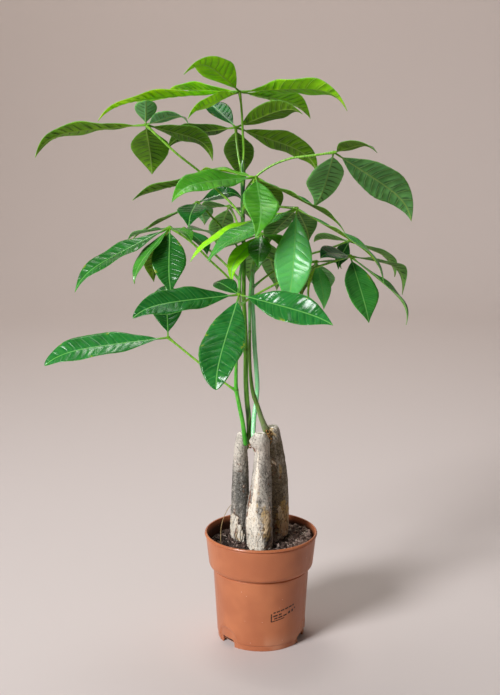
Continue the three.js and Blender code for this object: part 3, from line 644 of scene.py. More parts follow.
soil = {
    # The mound is (x, y, height, size), and no crumb lies farther out than the reach.
    "level": 103.5, "slope": 0.045, "mound": (44, 18, 3.5, 15), "lump": 1.1, "edgeDip": 6,
    "rings": 90, "sectors": 170, "rough": 1.25, "crumbs": 3000, "fibres": 1100, "reach": 53.5,
    "smallestCrumb": 0.45, "crumbRange": 1.9, "fibreLengths": (3, 11), "fibreRadii": (0.12, 0.32),
    "dark": "#1b130f", "brown": "#523d32", "grey": "#9a867c", "cream": "#e2d3bc", "dry": "#8d7263",
    "grains": [(1.3, 5, 0.7), (6, 3, 0.55)],
}
straw = {
    "path": [(-42.3, -12, 101, 0.35), (-42.6, -11.5, 112, 0.4), (-41.7, -10, 125, 0.38),
             (-37.8, -6, 136, 0.34), (-33.9, -2, 142, 0.28), (-31.5, 0.5, 144, 0.18)],
    "colour": "#8f7448", "light": "#c2a878", "grains": [(1.2, 3, 0.55, (3, 3, 0.3))],
}


def soilHeight(x, y):
    # A slope up to the right, a mound there, and small lumps of crossed sine waves.
    moundX, moundY, height, size = soil["mound"]
    mound = height * np.exp(-((x - moundX)**2 + (y - moundY)**2) / size**2)
    small = soil["lump"] * (np.sin(x / 5.3 + 1) * np.cos(y / 4.7) + 0.6 * np.sin((x - y) / 3.4))
    return soil["level"] + soil["slope"] * x + mound + small


def fineSoilHeight(x, y):
    # The plain surface with crumbly noise of three sizes on it.
    flat = np.stack([x, y, 0 * x], -1)
    crumbly = 0.9 * ripple(flat, 7, 31) + 0.7 * ripple(flat, 3, 32) + 0.5 * ripple(flat, 1.6, 33)
    return soilHeight(x, y) + soil["rough"] * crumbly


def buildSoil():
    # Rings from the middle of the underside out, up inside the pot's wall, and in over the surface.
    gap = pot["wall"] + 0.3
    angle = evenAngles(soil["sectors"])
    levels = np.array([pot["floorTop"] + 0.3, pot["wallTop"][1], pot["collarFoot"][1]])[:, None]
    side = around(outerRadius(levels) - gap, angle, levels)
    edge = float(outerRadius(soil["level"] - soil["edgeDip"])) - gap
    top = around(edge * np.linspace(1, 0.004, soil["rings"])[:, None], angle, 0.0)
    top[..., 2] = fineSoilHeight(top[..., 0], top[..., 1])
    made = putMesh("potting_mix", *closedSkin(np.concatenate([side, top])))
    return finishPiece(made, soilMaterial("moistPottingMix"), ["soil"])


def onTheSoil(rng, count, margin):
    # Random places on the surface inside the pot and clear of the trunks.
    radius = soil["reach"] * np.sqrt(rng.uniform(0, 1, count * 2))
    x, y = turnedFlat(radius, 0, rng.uniform(0, 2 * math.pi, count * 2))
    free = np.ones(len(x), bool)
    for values in trunks.values():
        _, trunkX, trunkY, trunkRadius = values["sections"][2]
        free &= np.hypot(x - trunkX, y - trunkY) > trunkRadius * 1.05 + margin
    return x[free][:count], y[free][:count]


def lumps(rng, middle, size):
    # A twenty-sided ball at each place, stretched at random along its axes and turned about +Z.
    golden = (1 + math.sqrt(5)) / 2
    ball = np.array([(-1, golden, 0), (1, golden, 0), (-1, -golden, 0), (1, -golden, 0), (0, -1, golden),
                     (0, 1, golden), (0, -1, -golden), (0, 1, -golden), (golden, 0, -1), (golden, 0, 1),
                     (-golden, 0, -1), (-golden, 0, 1)]) / math.sqrt(1 + golden**2)
    faces = np.array([(0, 11, 5), (0, 5, 1), (0, 1, 7), (0, 7, 10), (0, 10, 11), (1, 5, 9), (5, 11, 4),
                      (11, 10, 2), (10, 7, 6), (7, 1, 8), (3, 9, 4), (3, 4, 2), (3, 2, 6), (3, 6, 8),
                      (3, 8, 9), (4, 9, 5), (2, 4, 11), (6, 2, 10), (8, 6, 7), (9, 8, 1)])
    count = len(size)
    stretch = rng.uniform(0.6, 1.3, (count, 1, 3)) * size[:, None, None]
    shapes = ball[None] * stretch * rng.uniform(0.78, 1.15, (count, 12, 1))
    turn = rng.uniform(0, 2 * math.pi, count)[:, None]
    spun = np.stack([*turnedFlat(shapes[..., 0], shapes[..., 1], turn), shapes[..., 2]], -1)
    points = (spun + middle[:, None]).reshape(-1, 3)
    triangles = faces[None] + 12 * np.arange(count)[:, None, None]
    return points, np.zeros((0, 4), int), triangles.reshape(-1, 3)


def buildCrumbs():
    # Many small crumbs lie half sunk in the mix, and the ones on the right are a little larger.
    rng = np.random.default_rng(7)
    x, y = onTheSoil(rng, soil["crumbs"], 0.3)
    size = soil["smallestCrumb"] + soil["crumbRange"] * rng.uniform(0, 1, len(x))**3
    size = size * (1 + 0.25 * ramp(10, 35, x))
    middle = np.stack([x, y, fineSoilHeight(x, y) + 0.25 * size], -1)
    tone = np.repeat(rng.uniform(0, 0.82, len(x)) + 0.12 * ramp(-20, 35, x), 12)
    made = putMesh("mix_crumbs", *lumps(rng, middle, size), {"tone": tone})
    return finishPiece(made, soilMaterial("dryPeatCrumbs", True))


callus = {
    # Clumps of dry crust at the shoots' feet: (x, y, z, half width, half height, how many).
    "clumps": [(7.0, 3.0, 220.5, 4.0, 4.6, 90), (8.6, 1.6, 214.5, 2.6, 5.0, 60),
               (-11.6, -16.4, 213.5, 1.5, 3.0, 22), (-16, 7, 212, 3.4, 2.6, 40)],
    "smallest": 0.4, "largest": 1.3, "dark": "#42260f", "light": "#ab7d42", "grains": [(2.2, 3, 0.7)],
}


def buildCallus():
    # Places on the shells of flattened balls: centre + direction times (half width, half height).
    rng = np.random.default_rng(29)
    places = []
    for x, y, z, wide, tall, count in callus["clumps"]:
        ways = unit(rng.normal(size=(count, 3))) * rng.uniform(0.7, 1.05, (count, 1))
        places.append(np.array([x, y, z]) + ways * [wide, wide, tall])
    middle = np.concatenate(places)
    growth = rng.uniform(0, 1, len(middle))**2
    size = callus["smallest"] + (callus["largest"] - callus["smallest"]) * growth
    made = putMesh("callus_crumbs", *lumps(rng, middle, size))
    # Torn bark and dried sap: matt and rusty brown.
    material, shader, add, _, (patch,) = newMaterial("dryCallusCrust", callus["grains"])
    colour = painted(add, callus["dark"], [(callus["light"], (patch, 0.4, 0.62))])
    feed(shader, {"Base Color": colour, "Roughness": 0.85})
    return finishPiece(made, material)


def tube(path, sides, step):
    # Circles square to a smooth line through (x, y, z, radius) points, from one end to the other.
    path = np.array(path, float)
    length = np.concatenate([[0], np.cumsum(np.linalg.norm(np.diff(path[:, :3], axis=0), axis=1))])
    at = np.linspace(0, length[-1], max(3, int(length[-1] / step) + 1))
    *line, radius = [smoothThrough(length, column, at) for column in path.T]
    line = np.stack(line, -1)
    ahead = unit(np.gradient(line, axis=0))
    across = unit(np.cross(ahead, [0.13, 1.0, 0.07]))  # a direction that no stem follows
    other = np.cross(ahead, across)
    angle = evenAngles(sides)[..., None]
    circles = across[:, None] * np.cos(angle) + other[:, None] * np.sin(angle)
    return line[:, None] + radius[:, None, None] * circles, at, radius, line


def buildFibres():
    # Short bent root hairs and bark slivers lying on the mix, each a thin tube over the surface.
    rng = np.random.default_rng(19)
    x, y = onTheSoil(rng, soil["fibres"], 1.5)
    # A third of them lie on the mound at the right.
    third = len(x) // 3
    x[:third] = np.clip(x[:third] * 0.35 + soil["mound"][0] - 4, -50, 48)
    y[:third] = y[:third] * 0.4 + soil["mound"][1] - 8
    parts = []
    for i in range(len(x)):
        way, length = rng.uniform(0, 2 * math.pi), rng.uniform(*soil["fibreLengths"])
        t = np.linspace(-0.5, 0.5, 5)
        bend = rng.uniform(-0.3, 0.3) * length * (t**2 - 0.1)
        line = np.stack(turnedFlat(length * t, bend, way)) + [[x[i]], [y[i]]]
        line = line * np.minimum(1, soil["reach"] / np.maximum(np.hypot(*line), 1))
        lift = rng.uniform(0.35, 0.8) + rng.uniform(0, 1.2) * (t + 0.5)**2
        radius = rng.uniform(*soil["fibreRadii"]) * np.array([0.5, 1, 1, 0.9, 0.4])
        rings = tube(np.stack([*line, fineSoilHeight(*line) + lift, radius], -1), 5, length / 6)[0]
        tone = rng.uniform(0.7, 1.0) if i < third else rng.uniform(0.55, 0.97)
        parts.append(closedSkin(rings, {"tone": tone}))
    made = putMesh("mix_fibres", *joined(parts))
    return finishPiece(made, soilMaterial("dryBarkFibres", True))


def buildStraw():
    # A thin tube along the path, closed at both ends.
    made = putMesh("dry_straw", *closedSkin(tube(straw["path"], 10, 0.8)[0]))
    # A dry stem: matt, streaked along its length.
    material, shader, add, _, (streak,) = newMaterial("dryStraw", straw["grains"])
    colour = painted(add, straw["colour"], [(straw["light"], (streak, 0.35, 0.65))])
    feed(shader, {"Base Color": colour, "Roughness": 0.7})
    return finishPiece(made, material)


def soilMaterial(name, loose=False):
    # Peat and bark crumbs: nearly black when moist, with grey grit and cream slivers; no shine. It is
    # drier and paler on the mound at the right.
    material, shader, add, where, (fine, coarse) = newMaterial(name, soil["grains"])
    if loose:
        tone = add("Attribute", output="Fac", attribute_name="tone")
        pale = [(soil["grey"], (tone, 0.66, 0.84, 0, 0.9)), (soil["cream"], (tone, 0.9, 0.97))]
        dry = (fine, 0.42, 0.6, 0.0, 0.6)
    else:
        pale = [(soil["grey"], (fine, 0.6, 0.72, 0, 0.4))]
        dry = (coarse, 0.45, 0.6, 0.0, 0.4)
    right = (add("SeparateXYZ", (where,)), 0.01, 0.045)
    layers = [(soil["brown"], (coarse, 0.35, 0.65)), *pale, (soil["dry"], right, dry)]
    feed(shader, {
        "Base Color": painted(add, soil["dark"], layers), "Roughness": 0.92,
        "Normal": add("Bump", {"Height": fine, "Distance": 0.9 * millimetre, "Strength": 0.9}),
    })
    return material


# Stems are (x, y, z, radius) points and stalks (x, y, z) points that end at their leaf's hub; knots
# are (height, size). Colours are the stem's own, its light streaks and its dark patches; foot and
# crown are a tint and the heights between which it goes or comes.
stalk = {
    "radius": 1.15, "flare": 1.75, "flareLength": 7, "cushion": 1.75, "cushionLength": 6,
    "sides": 14, "step": 1.6, "stemSides": 18, "stemStep": 1.2,
    "main": "#5fa022", "light": "#97d044", "knot": "#4a3c22", "roughness": 0.28,
    "grains": [(1.3, 3, 0.55, (1, 1, 0.07)), (12, 2, 0.55, (1, 1, 0.35))],
}
shoots = {
    "shoot_left": {
        "colours": ("#3fae20", "#84dc52", "#23801a"), "slot": "bright_shoot",
        "foot": ("#2f8f18", 215, 240), "crown": ("#79bf5c", 318, 350),
        "stem": [(-16, 2, 209, 2.4), (-17.5, 2, 219, 2.4), (-19, 2, 231, 2.3), (-23, -1, 253, 2.2),
                 (-26, -4, 271, 2.1), (-26, -6, 291, 1.8), (-25, -8, 318, 1.7), (-23, -8, 343, 1.7),
                 (-22, -8, 364, 1.6), (-22, -8, 386, 1.6), (-20, -6, 402, 1.4)],
        "stalks": {
            "leaf_low_left": [(-26, -4, 269), (-32, -5, 273), (-41, -5, 280), (-60, -4, 295)],
            "leaf_low_front": [(-23, -8, 338), (-22, -22, 354), (-22, -42, 367)],
            "leaf_right": [(-22, -9, 359), (-18, -11, 362), (-10, -11, 367), (16, -8, 381),
                           (47, -4, 394), (75, -1, 403)],
            "leaf_left": [(-22, -8, 371), (-33, -10, 386), (-52, -14, 405), (-71, -18, 424)],
            "leaf_left_inner": [(-22, -8, 384), (-34, -4, 397), (-46, 2, 408), (-62, 9, 420)],
            "leaf_left_back": [(-20, -6, 400), (-24, 0, 416), (-37, 8, 432), (-55, 15, 451)],
        },
        "knots": [(269, 0.5), (338, 0.35), (359, 0.3), (371, 0.3), (384, 0.3)],
    },
    "shoot_tall": {
        "colours": ("#529622", "#92d24e", "#2b5010"), "slot": "dark_shoot",
        "foot": ("#2f4716", 235, 265), "crown": ("#175228", 385, 420),
        "stem": [(-16, 10, 203, 2.6), (-13, 10, 216, 2.8), (-13, 9, 235, 2.8), (-15, 7, 257, 2.7),
                 (-16, 5, 278, 2.6), (-16, 4, 310, 2.5), (-17, 4, 342, 2.2), (-18, 4, 363, 2.1),
                 (-18, 4, 383, 2.1), (-18, 3, 414, 2.1), (-19, 2, 449, 2.1), (-19, 1, 474, 2.2),
                 (-19, 0, 490, 2.9), (-19, 0, 498, 2.4), (-18.5, 0, 504, 1.3)],
        "stalks": {
            "leaf_top": [(-19, 0, 496), (-18, 0, 510), (-19, 0, 533), (-20.5, 0, 558)],
            "leaf_second": [(-19, 1, 489), (-22.5, 7, 503), (-25, 12, 519)],
            "leaf_upper_left": [(-19, 1, 447), (-32, 6, 462), (-45, 10, 474), (-57, 10, 487),
                                (-86, -1, 511)],
            "leaf_upper_right": [(-19, 1, 462), (-14, 4, 477), (-7, 6, 486), (3, 4, 494), (28, -2, 505),
                                 (50, -7, 508)],
            "leaf_bright_front": [(-19, 1, 449), (-15, -12, 465), (-10, -22, 478)],
            "leaf_front_right": [(-19, 1, 459), (-12, -8, 463), (0, -16, 462), (14, -23, 459)],
            "leaf_middle_back": [(-18, 3, 415), (-21, 15, 430), (-26, 30, 442), (-31, 44, 452)],
        },
        "knots": [(310, 0.8), (415, 0.4), (447, 0.4), (460, 0.4), (489, 0.5)],
    },
    "shoot_middle": {
        "colours": ("#8ee8a0", "#d2ffd4", "#54b066"), "slot": "pale_shoot",
        "foot": ("#8ede9c", 215, 240), "crown": ("#58ae62", 330, 370),
        "stem": [(-6, -13, 207, 2.2), (-8, -6, 219, 2.4), (-7.5, 3, 237, 2.4), (-5, 9, 255, 2.3),
                 (-4, 11, 269, 2.3), (-5, 11, 288, 2.4), (-7, 12, 314, 2.4), (-8, 12, 340, 2.2),
                 (-9, 12, 361, 2), (-9, 13, 377, 1.8), (-8, 14, 394, 1.6), (-6, 15, 404, 1.4)],
        "stalks": {
            "leaf_right_back": [(-9, 13, 374), (2, 16, 383), (16, 20, 392), (40, 25, 404),
                                (70, 28, 413)],
            "leaf_right_low": [(-7, 14, 400), (-3, 16, 405), (5, 19, 405), (16, 23, 400),
                               (37, 29, 398)],
        },
        "knots": [(374, 0.4), (398, 0.3)],
    },
    "shoot_right": {
        "colours": ("#4a7420", "#7aa83e", "#2a4812"), "slot": "olive_shoot",
        "foot": ("#9ba87c", 228, 258), "crown": ("#6cc06e", 315, 345),
        "stem": [(9, 11, 215, 4.2), (6, 9, 222, 4), (1, 2, 236, 2.9), (-4, -4, 253, 2.4),
                 (-9, -6, 269, 2.1), (-11, -6, 285, 1.8), (-12, -5, 312, 1.6), (-12, -4, 332, 1.5),
                 (-12, -4, 348, 1.5), (-12, -3, 363, 1.5), (-11, -1, 378, 1.6), (-9, 1, 396, 1.4)],
        "stalks": {"leaf_inner": [(-9, 1, 394), (-6, 3, 410), (-2, 4, 422)]},
        "knots": [(262, 0.35), (330, 0.3), (392, 0.3)],
    },
}


def buildShoot(name, values):
    # The stem is a tube that swells a little at each knot. Each stalk flares where it leaves the stem
    # and ends in a thicker cushion at its leaf's hub.
    sides, own = stalk["stemSides"], stalk["radius"]
    rings, _, radius, line = tube(values["stem"], sides, stalk["stemStep"])
    level, angle = line[:, 2], evenAngles(sides)
    swell = sum(size * np.exp(-((level - z) / 2.2)**2) for z, size in values["knots"])
    ridged = 1 + (swell / radius)[:, None] * (0.8 + 0.2 * np.sin(3 * angle))
    ridged = ridged + 0.02 * np.sin(5 * angle + level[:, None] / 30)
    rings = line[:, None] + (rings - line[:, None]) * ridged[..., None]
    knots = sum(np.exp(-((level - z - 1.2) / 0.9)**2) for z, _ in values["knots"])
    parts = [closedSkin(rings, spread(rings, {"isStalk": 0.0, "knot": knots[:, None]}))]
    for leafName, points in values["stalks"].items():
        path = [(*point, own) for point in [*points, leaves[leafName]["hub"]]]
        rings, at, _, line = tube(path, stalk["sides"], stalk["step"])
        thick = (stalk["flare"] - own) * np.exp(-(at / stalk["flareLength"])**2)
        thick += (stalk["cushion"] - own) * np.exp(-((at[-1] - at) / stalk["cushionLength"])**2)
        rings = line[:, None] + (rings - line[:, None]) * (1 + thick / own)[:, None, None]
        green = ramp(0, 12, at)[:, None]
        parts.append(closedSkin(rings, spread(rings, {"isStalk": green, "knot": 0.0})))
    made = putMesh(name + "_stems", *joined(parts))
    return finishPiece(made, shootMaterial(name, values), [name])


def shootMaterial(name, values):
    # A green living stem: smooth waxy skin with fine lengthwise streaks and brown rings at its knots.
    material, shader, add, where, (streak, cloud) = newMaterial("waxySkin_" + name, stalk["grains"])
    isStalk, knot = [add("Attribute", output="Fac", attribute_name=key) for key in ("isStalk", "knot")]
    height = add("SeparateXYZ", (add("Mapping", {"Vector": where, "Scale": inMm}),), 2)
    main, light, dark = values["colours"]
    (foot, footLow, footHigh), (crown, crownLow, crownHigh) = values["foot"], values["crown"]
    green = painted(add, stalk["main"], [(stalk["light"], (streak, 0.35, 0.65))])
    colour = painted(add, main, [
        (foot, (height, footHigh, footLow)),
        (crown, (height, crownLow, crownHigh)),
        (light, (streak, 0.4, 0.7, 0, 0.7)),
        (dark, (cloud, 0.54, 0.72, 0, 0.6)),
        (green, isStalk),
        (stalk["knot"], knot, 0.6),
    ])
    feed(shader, {
        "Base Color": colour, "Roughness": stalk["roughness"],
        "Subsurface Weight": 0.2, "Subsurface Radius": (0.6, 1.0, 0.25), "Subsurface Scale": 0.001,
        "Normal": add("Bump", {"Height": streak, "Distance": 0.25 * millimetre, "Strength": 0.5}),
    })
    return material


# Each leaf: the place of its hub, its freshness from 0 (old, deep green) to 1 (young, yellow-green),
# and its leaflets: the tip from the hub (right, away, up), the greatest width, how far the midrib
# bows up and sways to its right, the turn of the blade about its length in degrees, freshness that
# differs from the leaf's own, how blunt the tip is from 0 to 1, and how much painted sheen, a pale
# tint, lies on its upper face.
leaves = {
    "leaf_top": {"hub": (-22, 0, 570), "fresh": 0.78, "leaflets": [
        (-139, -10, -29, 28, 12, 0, 13, 0.88), (-74, 40, 3, 28, 2, 0, 16),
        (-51, -62, 11, 34, 13, -7, 20, 0.67), (-49, -36, -28, 26, 4, 0, 32, 0.7),
        (104, -26, -20, 32, 15, 0, -25, 0.7), (73, 50, -24, 30, 9, 0, -14, 0.66)]},
    "leaf_second": {"hub": (-26, 15, 536), "fresh": 0.3, "leaflets": [
        (-72, 44, -20, 28, 8, 0, 30), (-35, 34, 26, 25, 4, 0, -20, 0.1), (65, -40, 11, 30, 8, 0, -30),
        (84, 25, -45, 30, 11, 0, -38), (4, 50, -52, 32, 6, 0, 0)]},
    "leaf_upper_left": {"hub": (-115, 0, 538), "fresh": 0.42, "leaflets": [
        (-114, 15, -32, 28, 15, 0, 20, 0.52), (4, -34, 21, 22, 3, 0, 0, 0.1),
        (45, -44, -1, 24, 8, 0, -15, 0.1), (65, 26, -35, 28, 12, 0, -28),
        (1, 45, -49, 40, 6, 0, 0, 0.3)]},
    "leaf_upper_right": {"hub": (71, -10, 511), "fresh": 0.16, "leaflets": [
        (-16, 50, -56, 40, 5, 6, 0), (85, 42, -70, 38, 11, 0, -48),
        (36, -55, -1, 26, 7, 4, -12, 0.3, 0.5)]},
    "leaf_bright_front": {"hub": (-6, -30, 487), "fresh": 0.75, "leaflets": [
        (-77, -66, -22, 32, 10, 0, -30), (-126, 50, -24, 28, 7, 0, 15, 0.3),
        (-57, 66, 6, 20, 3, 0, 0), (-1, -84, -53, 34, 8, -5, -10),
        (87, -8, -54, 26, 6, 0, -4, 0.42, 0, 0.7), (23, 42, -35, 26, 5, 0, 0, 0.3)]},
    "leaf_front_right": {"hub": (34, -30, 457), "fresh": 0.55, "leaflets": [
        (-11, -22, -93, 37, 8, -7, -17, 0.38, 0, 1.0), (-85, -56, -46, 30, 6, 0, -10, 0.45, 0, 0.3),
        (-103, -24, -50, 26, 9, 0, -10, 1.0), (79, -58, -66, 25, 12.5, 0, -13, 0.3, 0, 0.6),
        (15, 48, -35, 25, 5, 0, 0, 0.2), (-28, 50, -41, 28, 5, 0, 0, 0.2)]},
    "leaf_inner": {"hub": (0, 5, 430), "fresh": 0.2, "leaflets": [
        (-52, -34, -26, 22, 7, 0, 0, 0.45), (-29, -34, -47, 18, 12, 0, -22, 1.0),
        (-3, -36, -32, 24, 6, 0, 0, 0.4), (20, -30, -14, 20, 6, 0, 0, 0.8),
        (-12, 44, -55, 26, 6, 0, 0), (17, 42, -63, 28, 6, 0, 0)]},
    "leaf_right": {"hub": (90, 0, 408), "fresh": 0.2, "leaflets": [
        (15, -44, -62, 35, 6, 2, 0, 0.18), (55, -24, -67, 22, 12, 0, -8), (59, 34, -44, 28, 20, 0, 0),
        (-33, -40, 1, 24, 4, 0, -32, 0.0, 0.4)]},
    "leaf_right_back": {"hub": (92, 30, 421), "fresh": 0.2, "leaflets": [
        (-35, 36, -4, 24, 4, 0, 22), (52, 30, -41, 26, 12, 0, 0), (-14, -28, -27, 16, 5, 0, -40, 0.1)]},
    "leaf_right_low": {"hub": (58, 35, 399), "fresh": 0.25, "leaflets": [
        (13, 40, -44, 30, 6, -2, 0, 0.1), (6, -34, -46, 19, 6, 0, 0, 0.6, 0, 0.9),
        (-6, -30, -42, 18, 7, 4, 78, 0.65, 0, 0.9), (-13, 30, -42, 22, 7, 0, 0),
        (25, -16, -6, 16, 5, 0, 0)]},
    "leaf_low_left": {"hub": (-96, 0, 324), "fresh": 0.1, "leaflets": [
        (-123, -24, -25, 34, 8, 0, -34, 0.1, 0.9), (-7, 62, 46, 36, 5, 0, 0)]},
    "leaf_low_front": {"hub": (-22, -60, 376), "fresh": 0.1, "leaflets": [
        (-99, -34, -18, 32, 7, 0, -38, 0.1, 0.6), (-20, -76, -77, 42, 5, 2, 0, 0.1, 0.9),
        (87, -44, -23, 33, 3, 0, 52), (-26, 34, 7, 22, 3, 0, -20)]},
    "leaf_left": {"hub": (-91, -20, 438), "fresh": 0.15, "leaflets": [
        (-88, -46, -59, 28, 9, 0, -18), (-31, -44, -51, 21, 7, 0, 12, 0.32),
        (-19, 24, -57, 30, 8, 0, 0, 0.3), (4, -44, -60, 34, 5, 2, 0),
        (23, -30, -13, 20, 5, 0, 0, 0.5), (-45, 26, -14, 22, 3, 0, 0)]},
    "leaf_left_inner": {"hub": (-79, 10, 435), "fresh": 0.1, "leaflets": [
        (28, 34, -11, 22, 4, 0, 10), (24, -22, -25, 24, 5, 0, 0)]},
    "leaf_left_back": {"hub": (-66, 20, 461), "fresh": 0.1, "leaflets": [
        (-6, -44, -23, 30, 6, 0, 0), (-66, 0, -37, 22, 2, 0, 0, 0.5), (6, 34, -25, 24, 5, 0, 0),
        (46, 8, 2, 24, 8, 0, 28)]},
    "leaf_middle_back": {"hub": (-34, 50, 456), "fresh": 0.2, "leaflets": [
        (-13, 34, -45, 28, 5, 0, 0), (-29, 20, -8, 22, 5, 0, 20), (24, 30, -17, 24, 5, 0, 0)]},
}
blade = {
    # Sizes in mm, but waves count along a whole leaflet. The stalk's share is that of its length, and
    # lean and bend slant and curve the side veins. Waves and quilting are full from the full sizes on.
    "hub": 2.1, "rowStep": 1.15, "columns": 19, "stalkShare": 0.09, "thickness": 0.6,
    "stalkThickness": 1.6, "fold": 0.19, "wave": 1.5, "waves": 2.6, "scallop": 0.006,
    "veinSpacing": 9.0, "veinLean": 0.42, "veinBend": 0.014, "quilt": 0.55, "underQuilt": 0.9,
    "rib": 0.55, "warp": 0.6, "veinCount": 12, "closestVeins": 5.6, "fullWaves": 105,
    "fullQuiltLength": 80, "fullQuiltWidth": 28,
    "upper": "#02461c", "upperLight": "#067036", "freshUpper": "#4aa422", "freshUpperLight": "#80cc30",
    "under": "#568f54", "underLight": "#7cbe74", "midUnder": "#48700a", "midUnderLight": "#689414",
    # Painted light: the lime and the fresh underside colours stand partly for light shining through the
    # leaf, and the pale tint for sheen.
    "freshUnder": "#8ace08", "freshUnderLight": "#c2f812", "backlitLime": "#a0ff1c", "pale": "#64be6a",
    "ribColour": "#7cc062", "underRib": "#8ca850", "stalk": "#6fa62c", "underShade": "#16300a",
    "spot": "#a8a51e",
    "roughness": 0.12, "freshRough": 0.26, "underRough": 0.68, "gloss": 0.31, "veinShadowAt": 0.86,
    "glow": {"leaf": 0.3, "young_leaf": 0.6}, "grains": [(14, 3, 0.55), (1.4, 4, 0.6), (7, 2, 0.55)],
}


def halfWidth(u, width, blunt):
    # A bare stalk, then a blade widest past its middle that ends in a short drip tip:
    # half the width times sin(pi v^a)^b times (1 - c v^6), where v runs from 0 to 1 on the blade and
    # a, b, c go from 1.1, 0.82, 0.5 for a pointed tip to 1.22, 0.62, 0 for a blunt one.
    v = np.clip((u - blade["stalkShare"]) / (1 - blade["stalkShare"]), 0, 1)
    shape = np.maximum(np.sin(np.pi * v**(1.1 + 0.12 * blunt)), 0)**(0.82 - 0.2 * blunt)
    full = shape * (1 - 0.5 * (1 - blunt) * v**6)
    return np.maximum(np.interp(v, [0, 0.5, 0.93, 1], [0.8, 0.7, 0.5, 0.12]), width / 2 * full)


def leafletSkin(hub, leaflet, order, tone):
    # At u along the midrib and s across it, the point is midrib(u) + side s half + normal lift.
    # The midrib is the chord bowed by u (1 - u^6) / 0.62, and lift sums the fold, the margin's wave,
    # the quilting between slanting veins, a slow warp and the rib.
    tip, (width, bow, sway, turn, fresh, blunt, pale) = np.array(leaflet[:3], float), leaflet[3:]
    length = np.linalg.norm(tip)
    along = tip / length
    rise = unit(np.array([0, 0, 1.0]) - along[2] * along)
    across = np.cross(along, rise)
    up = rise * math.cos(math.radians(turn)) + across * math.sin(math.radians(turn))
    rows = int(length / blade["rowStep"]) + 8
    u = np.linspace(0, 1, rows)
    bend = (u * (1 - u**6) / 0.62)[:, None]
    midrib = np.array(hub, float) + tip * u[:, None] + rise * bow * bend + across * sway * bend
    ahead = unit(np.gradient(midrib, axis=0))
    normal = unit(up - (ahead @ up)[:, None] * ahead)
    side = np.cross(ahead, normal)
    half = halfWidth(u, width, blunt)[:, None]
    k = np.linspace(-1, 1, blade["columns"])[None, :]
    s = np.sign(k) * np.abs(k)**1.35
    off, u = np.abs(s), u[:, None]
    # Side veins are spaced a little unevenly, and each half of the blade has its own.
    spacing = np.clip(length / blade["veinCount"], blade["closestVeins"], blade["veinSpacing"])
    uneven = 0.16 * np.sin(9 * u + 2.3 * order) + 0.12 * np.sin(23 * u + order + 2 * np.sign(s))
    shift = 0.5 * (s > 0) + uneven
    ends = (u * length - blade["veinLean"] * half) / spacing + shift
    half = half * (1 - blade["scallop"] * np.cos(2 * np.pi * ends) * off**4 * ramp(0.98, 0.85, u))
    out = off * half
    phase = (u * length - blade["veinLean"] * out - blade["veinBend"] * out**2) / spacing + shift
    # Short leaflets have shallower waves and quilting.
    small = min(1.0, length / blade["fullWaves"])
    wave = blade["wave"] * small * (2 * half / width)
    wave = wave * np.sin(2 * np.pi * max(1.1, blade["waves"] * small) * u + 1.9 * order + np.sign(s))
    flat = np.stack([u * length + 0 * s, s * half, np.full(out.shape, 37.0 * order)], -1)
    bulge = np.abs(np.sin(np.pi * phase))**0.75 - 0.62
    fade = ramp(0.4, 3.0, out) * ramp(1.02, 0.75, off) * ramp(0.1, 0.2, u) * ramp(0.99, 0.88, u)
    quilt = bulge * fade * (1 + 0.7 * ripple(flat, 20, 61 + order))
    quilt = quilt * min(1.0, width / blade["fullQuiltWidth"])
    quilt = quilt * min(1.0, length / blade["fullQuiltLength"])
    warp = blade["warp"] * ripple(flat, 26, 41 + order) * ramp(0, 0.3, u) * off
    rib = np.exp(-(out / 0.75)**2) * ramp(1.0, 0.75, u)
    thick = blade["thickness"] + (blade["stalkThickness"] - blade["thickness"]) * ramp(0.12, 0.05, u)
    thick = thick / 2 * (1 - 0.55 * off**6)
    lift = blade["fold"] * half * off**1.2 + wave * s**2 + warp
    upper = lift + blade["quilt"] * quilt + thick + 0.12 * rib
    lower = lift + blade["underQuilt"] * quilt - thick - blade["rib"] * rib
    middle = midrib[:, None] + side[:, None] * (s * half)[..., None]

    def both(top, bottom):
        # The upper face's columns, then the lower face's in the other direction.
        return np.concatenate([top, bottom[:, ::-1]], 1)

    lifts = both(upper, lower)[..., None]
    rings = both(middle, middle) + normal[:, None] * lifts
    grids = {"veins": phase, "outMm": out, "along": u + 0 * s, "margin": off + 0 * u}
    lists = spread(rings, {key: both(grid, grid) for key, grid in grids.items()})
    lists["isUnder"] = np.append(both(0 * out, 0 * out + 1).ravel(), [0, 0])
    lists.update(fresh=fresh, pale=pale, tone=tone)
    return closedSkin(rings, lists)


def hubSkin(hub):
    # A small flattened ball with shallow lobes, where the leaflets' stalks meet.
    polar = np.linspace(0.12, math.pi - 0.12, 9)[::-1, None]
    angle = evenAngles(20)
    radius = blade["hub"] * (1 + 0.08 * np.sin(6 * angle) * np.sin(polar))
    return around(radius * np.sin(polar), angle, 0.85 * radius * np.cos(polar)) + np.array(hub, float)


def buildLeaf(name, values):
    # All leaflets and the hub in one mesh. A short leaflet row goes on with the leaf's own freshness,
    # a pointed tip and no painted sheen.
    plain, parts = (values["fresh"], 0.0, 0.0), []
    for order, row in enumerate(values["leaflets"]):
        tone = (len(name) * 0.37 + order * 0.29) % 1  # shifts the cloudiness of each leaflet a little
        parts.append(leafletSkin(values["hub"], row + plain[len(row) - 7:], order, tone))
    parts.append(closedSkin(hubSkin(values["hub"]), {
        "veins": 0.5, "outMm": 0.0, "along": 0.0, "margin": 0.0, "isUnder": 0.0,
        "fresh": values["fresh"], "tone": 0.5, "pale": 0.0}))
    points, quads, triangles, lists = joined(parts)
    low, high = np.array(cadBox) / millimetre
    points = np.clip(points, low + 0.02, high - 0.02)  # the finer blades stay inside the frame's box
    made = putMesh(name + "_blades", points, quads, triangles, lists)
    slotName = frameSlots[name]
    return finishPiece(made, leafMaterials[slotName], [name])


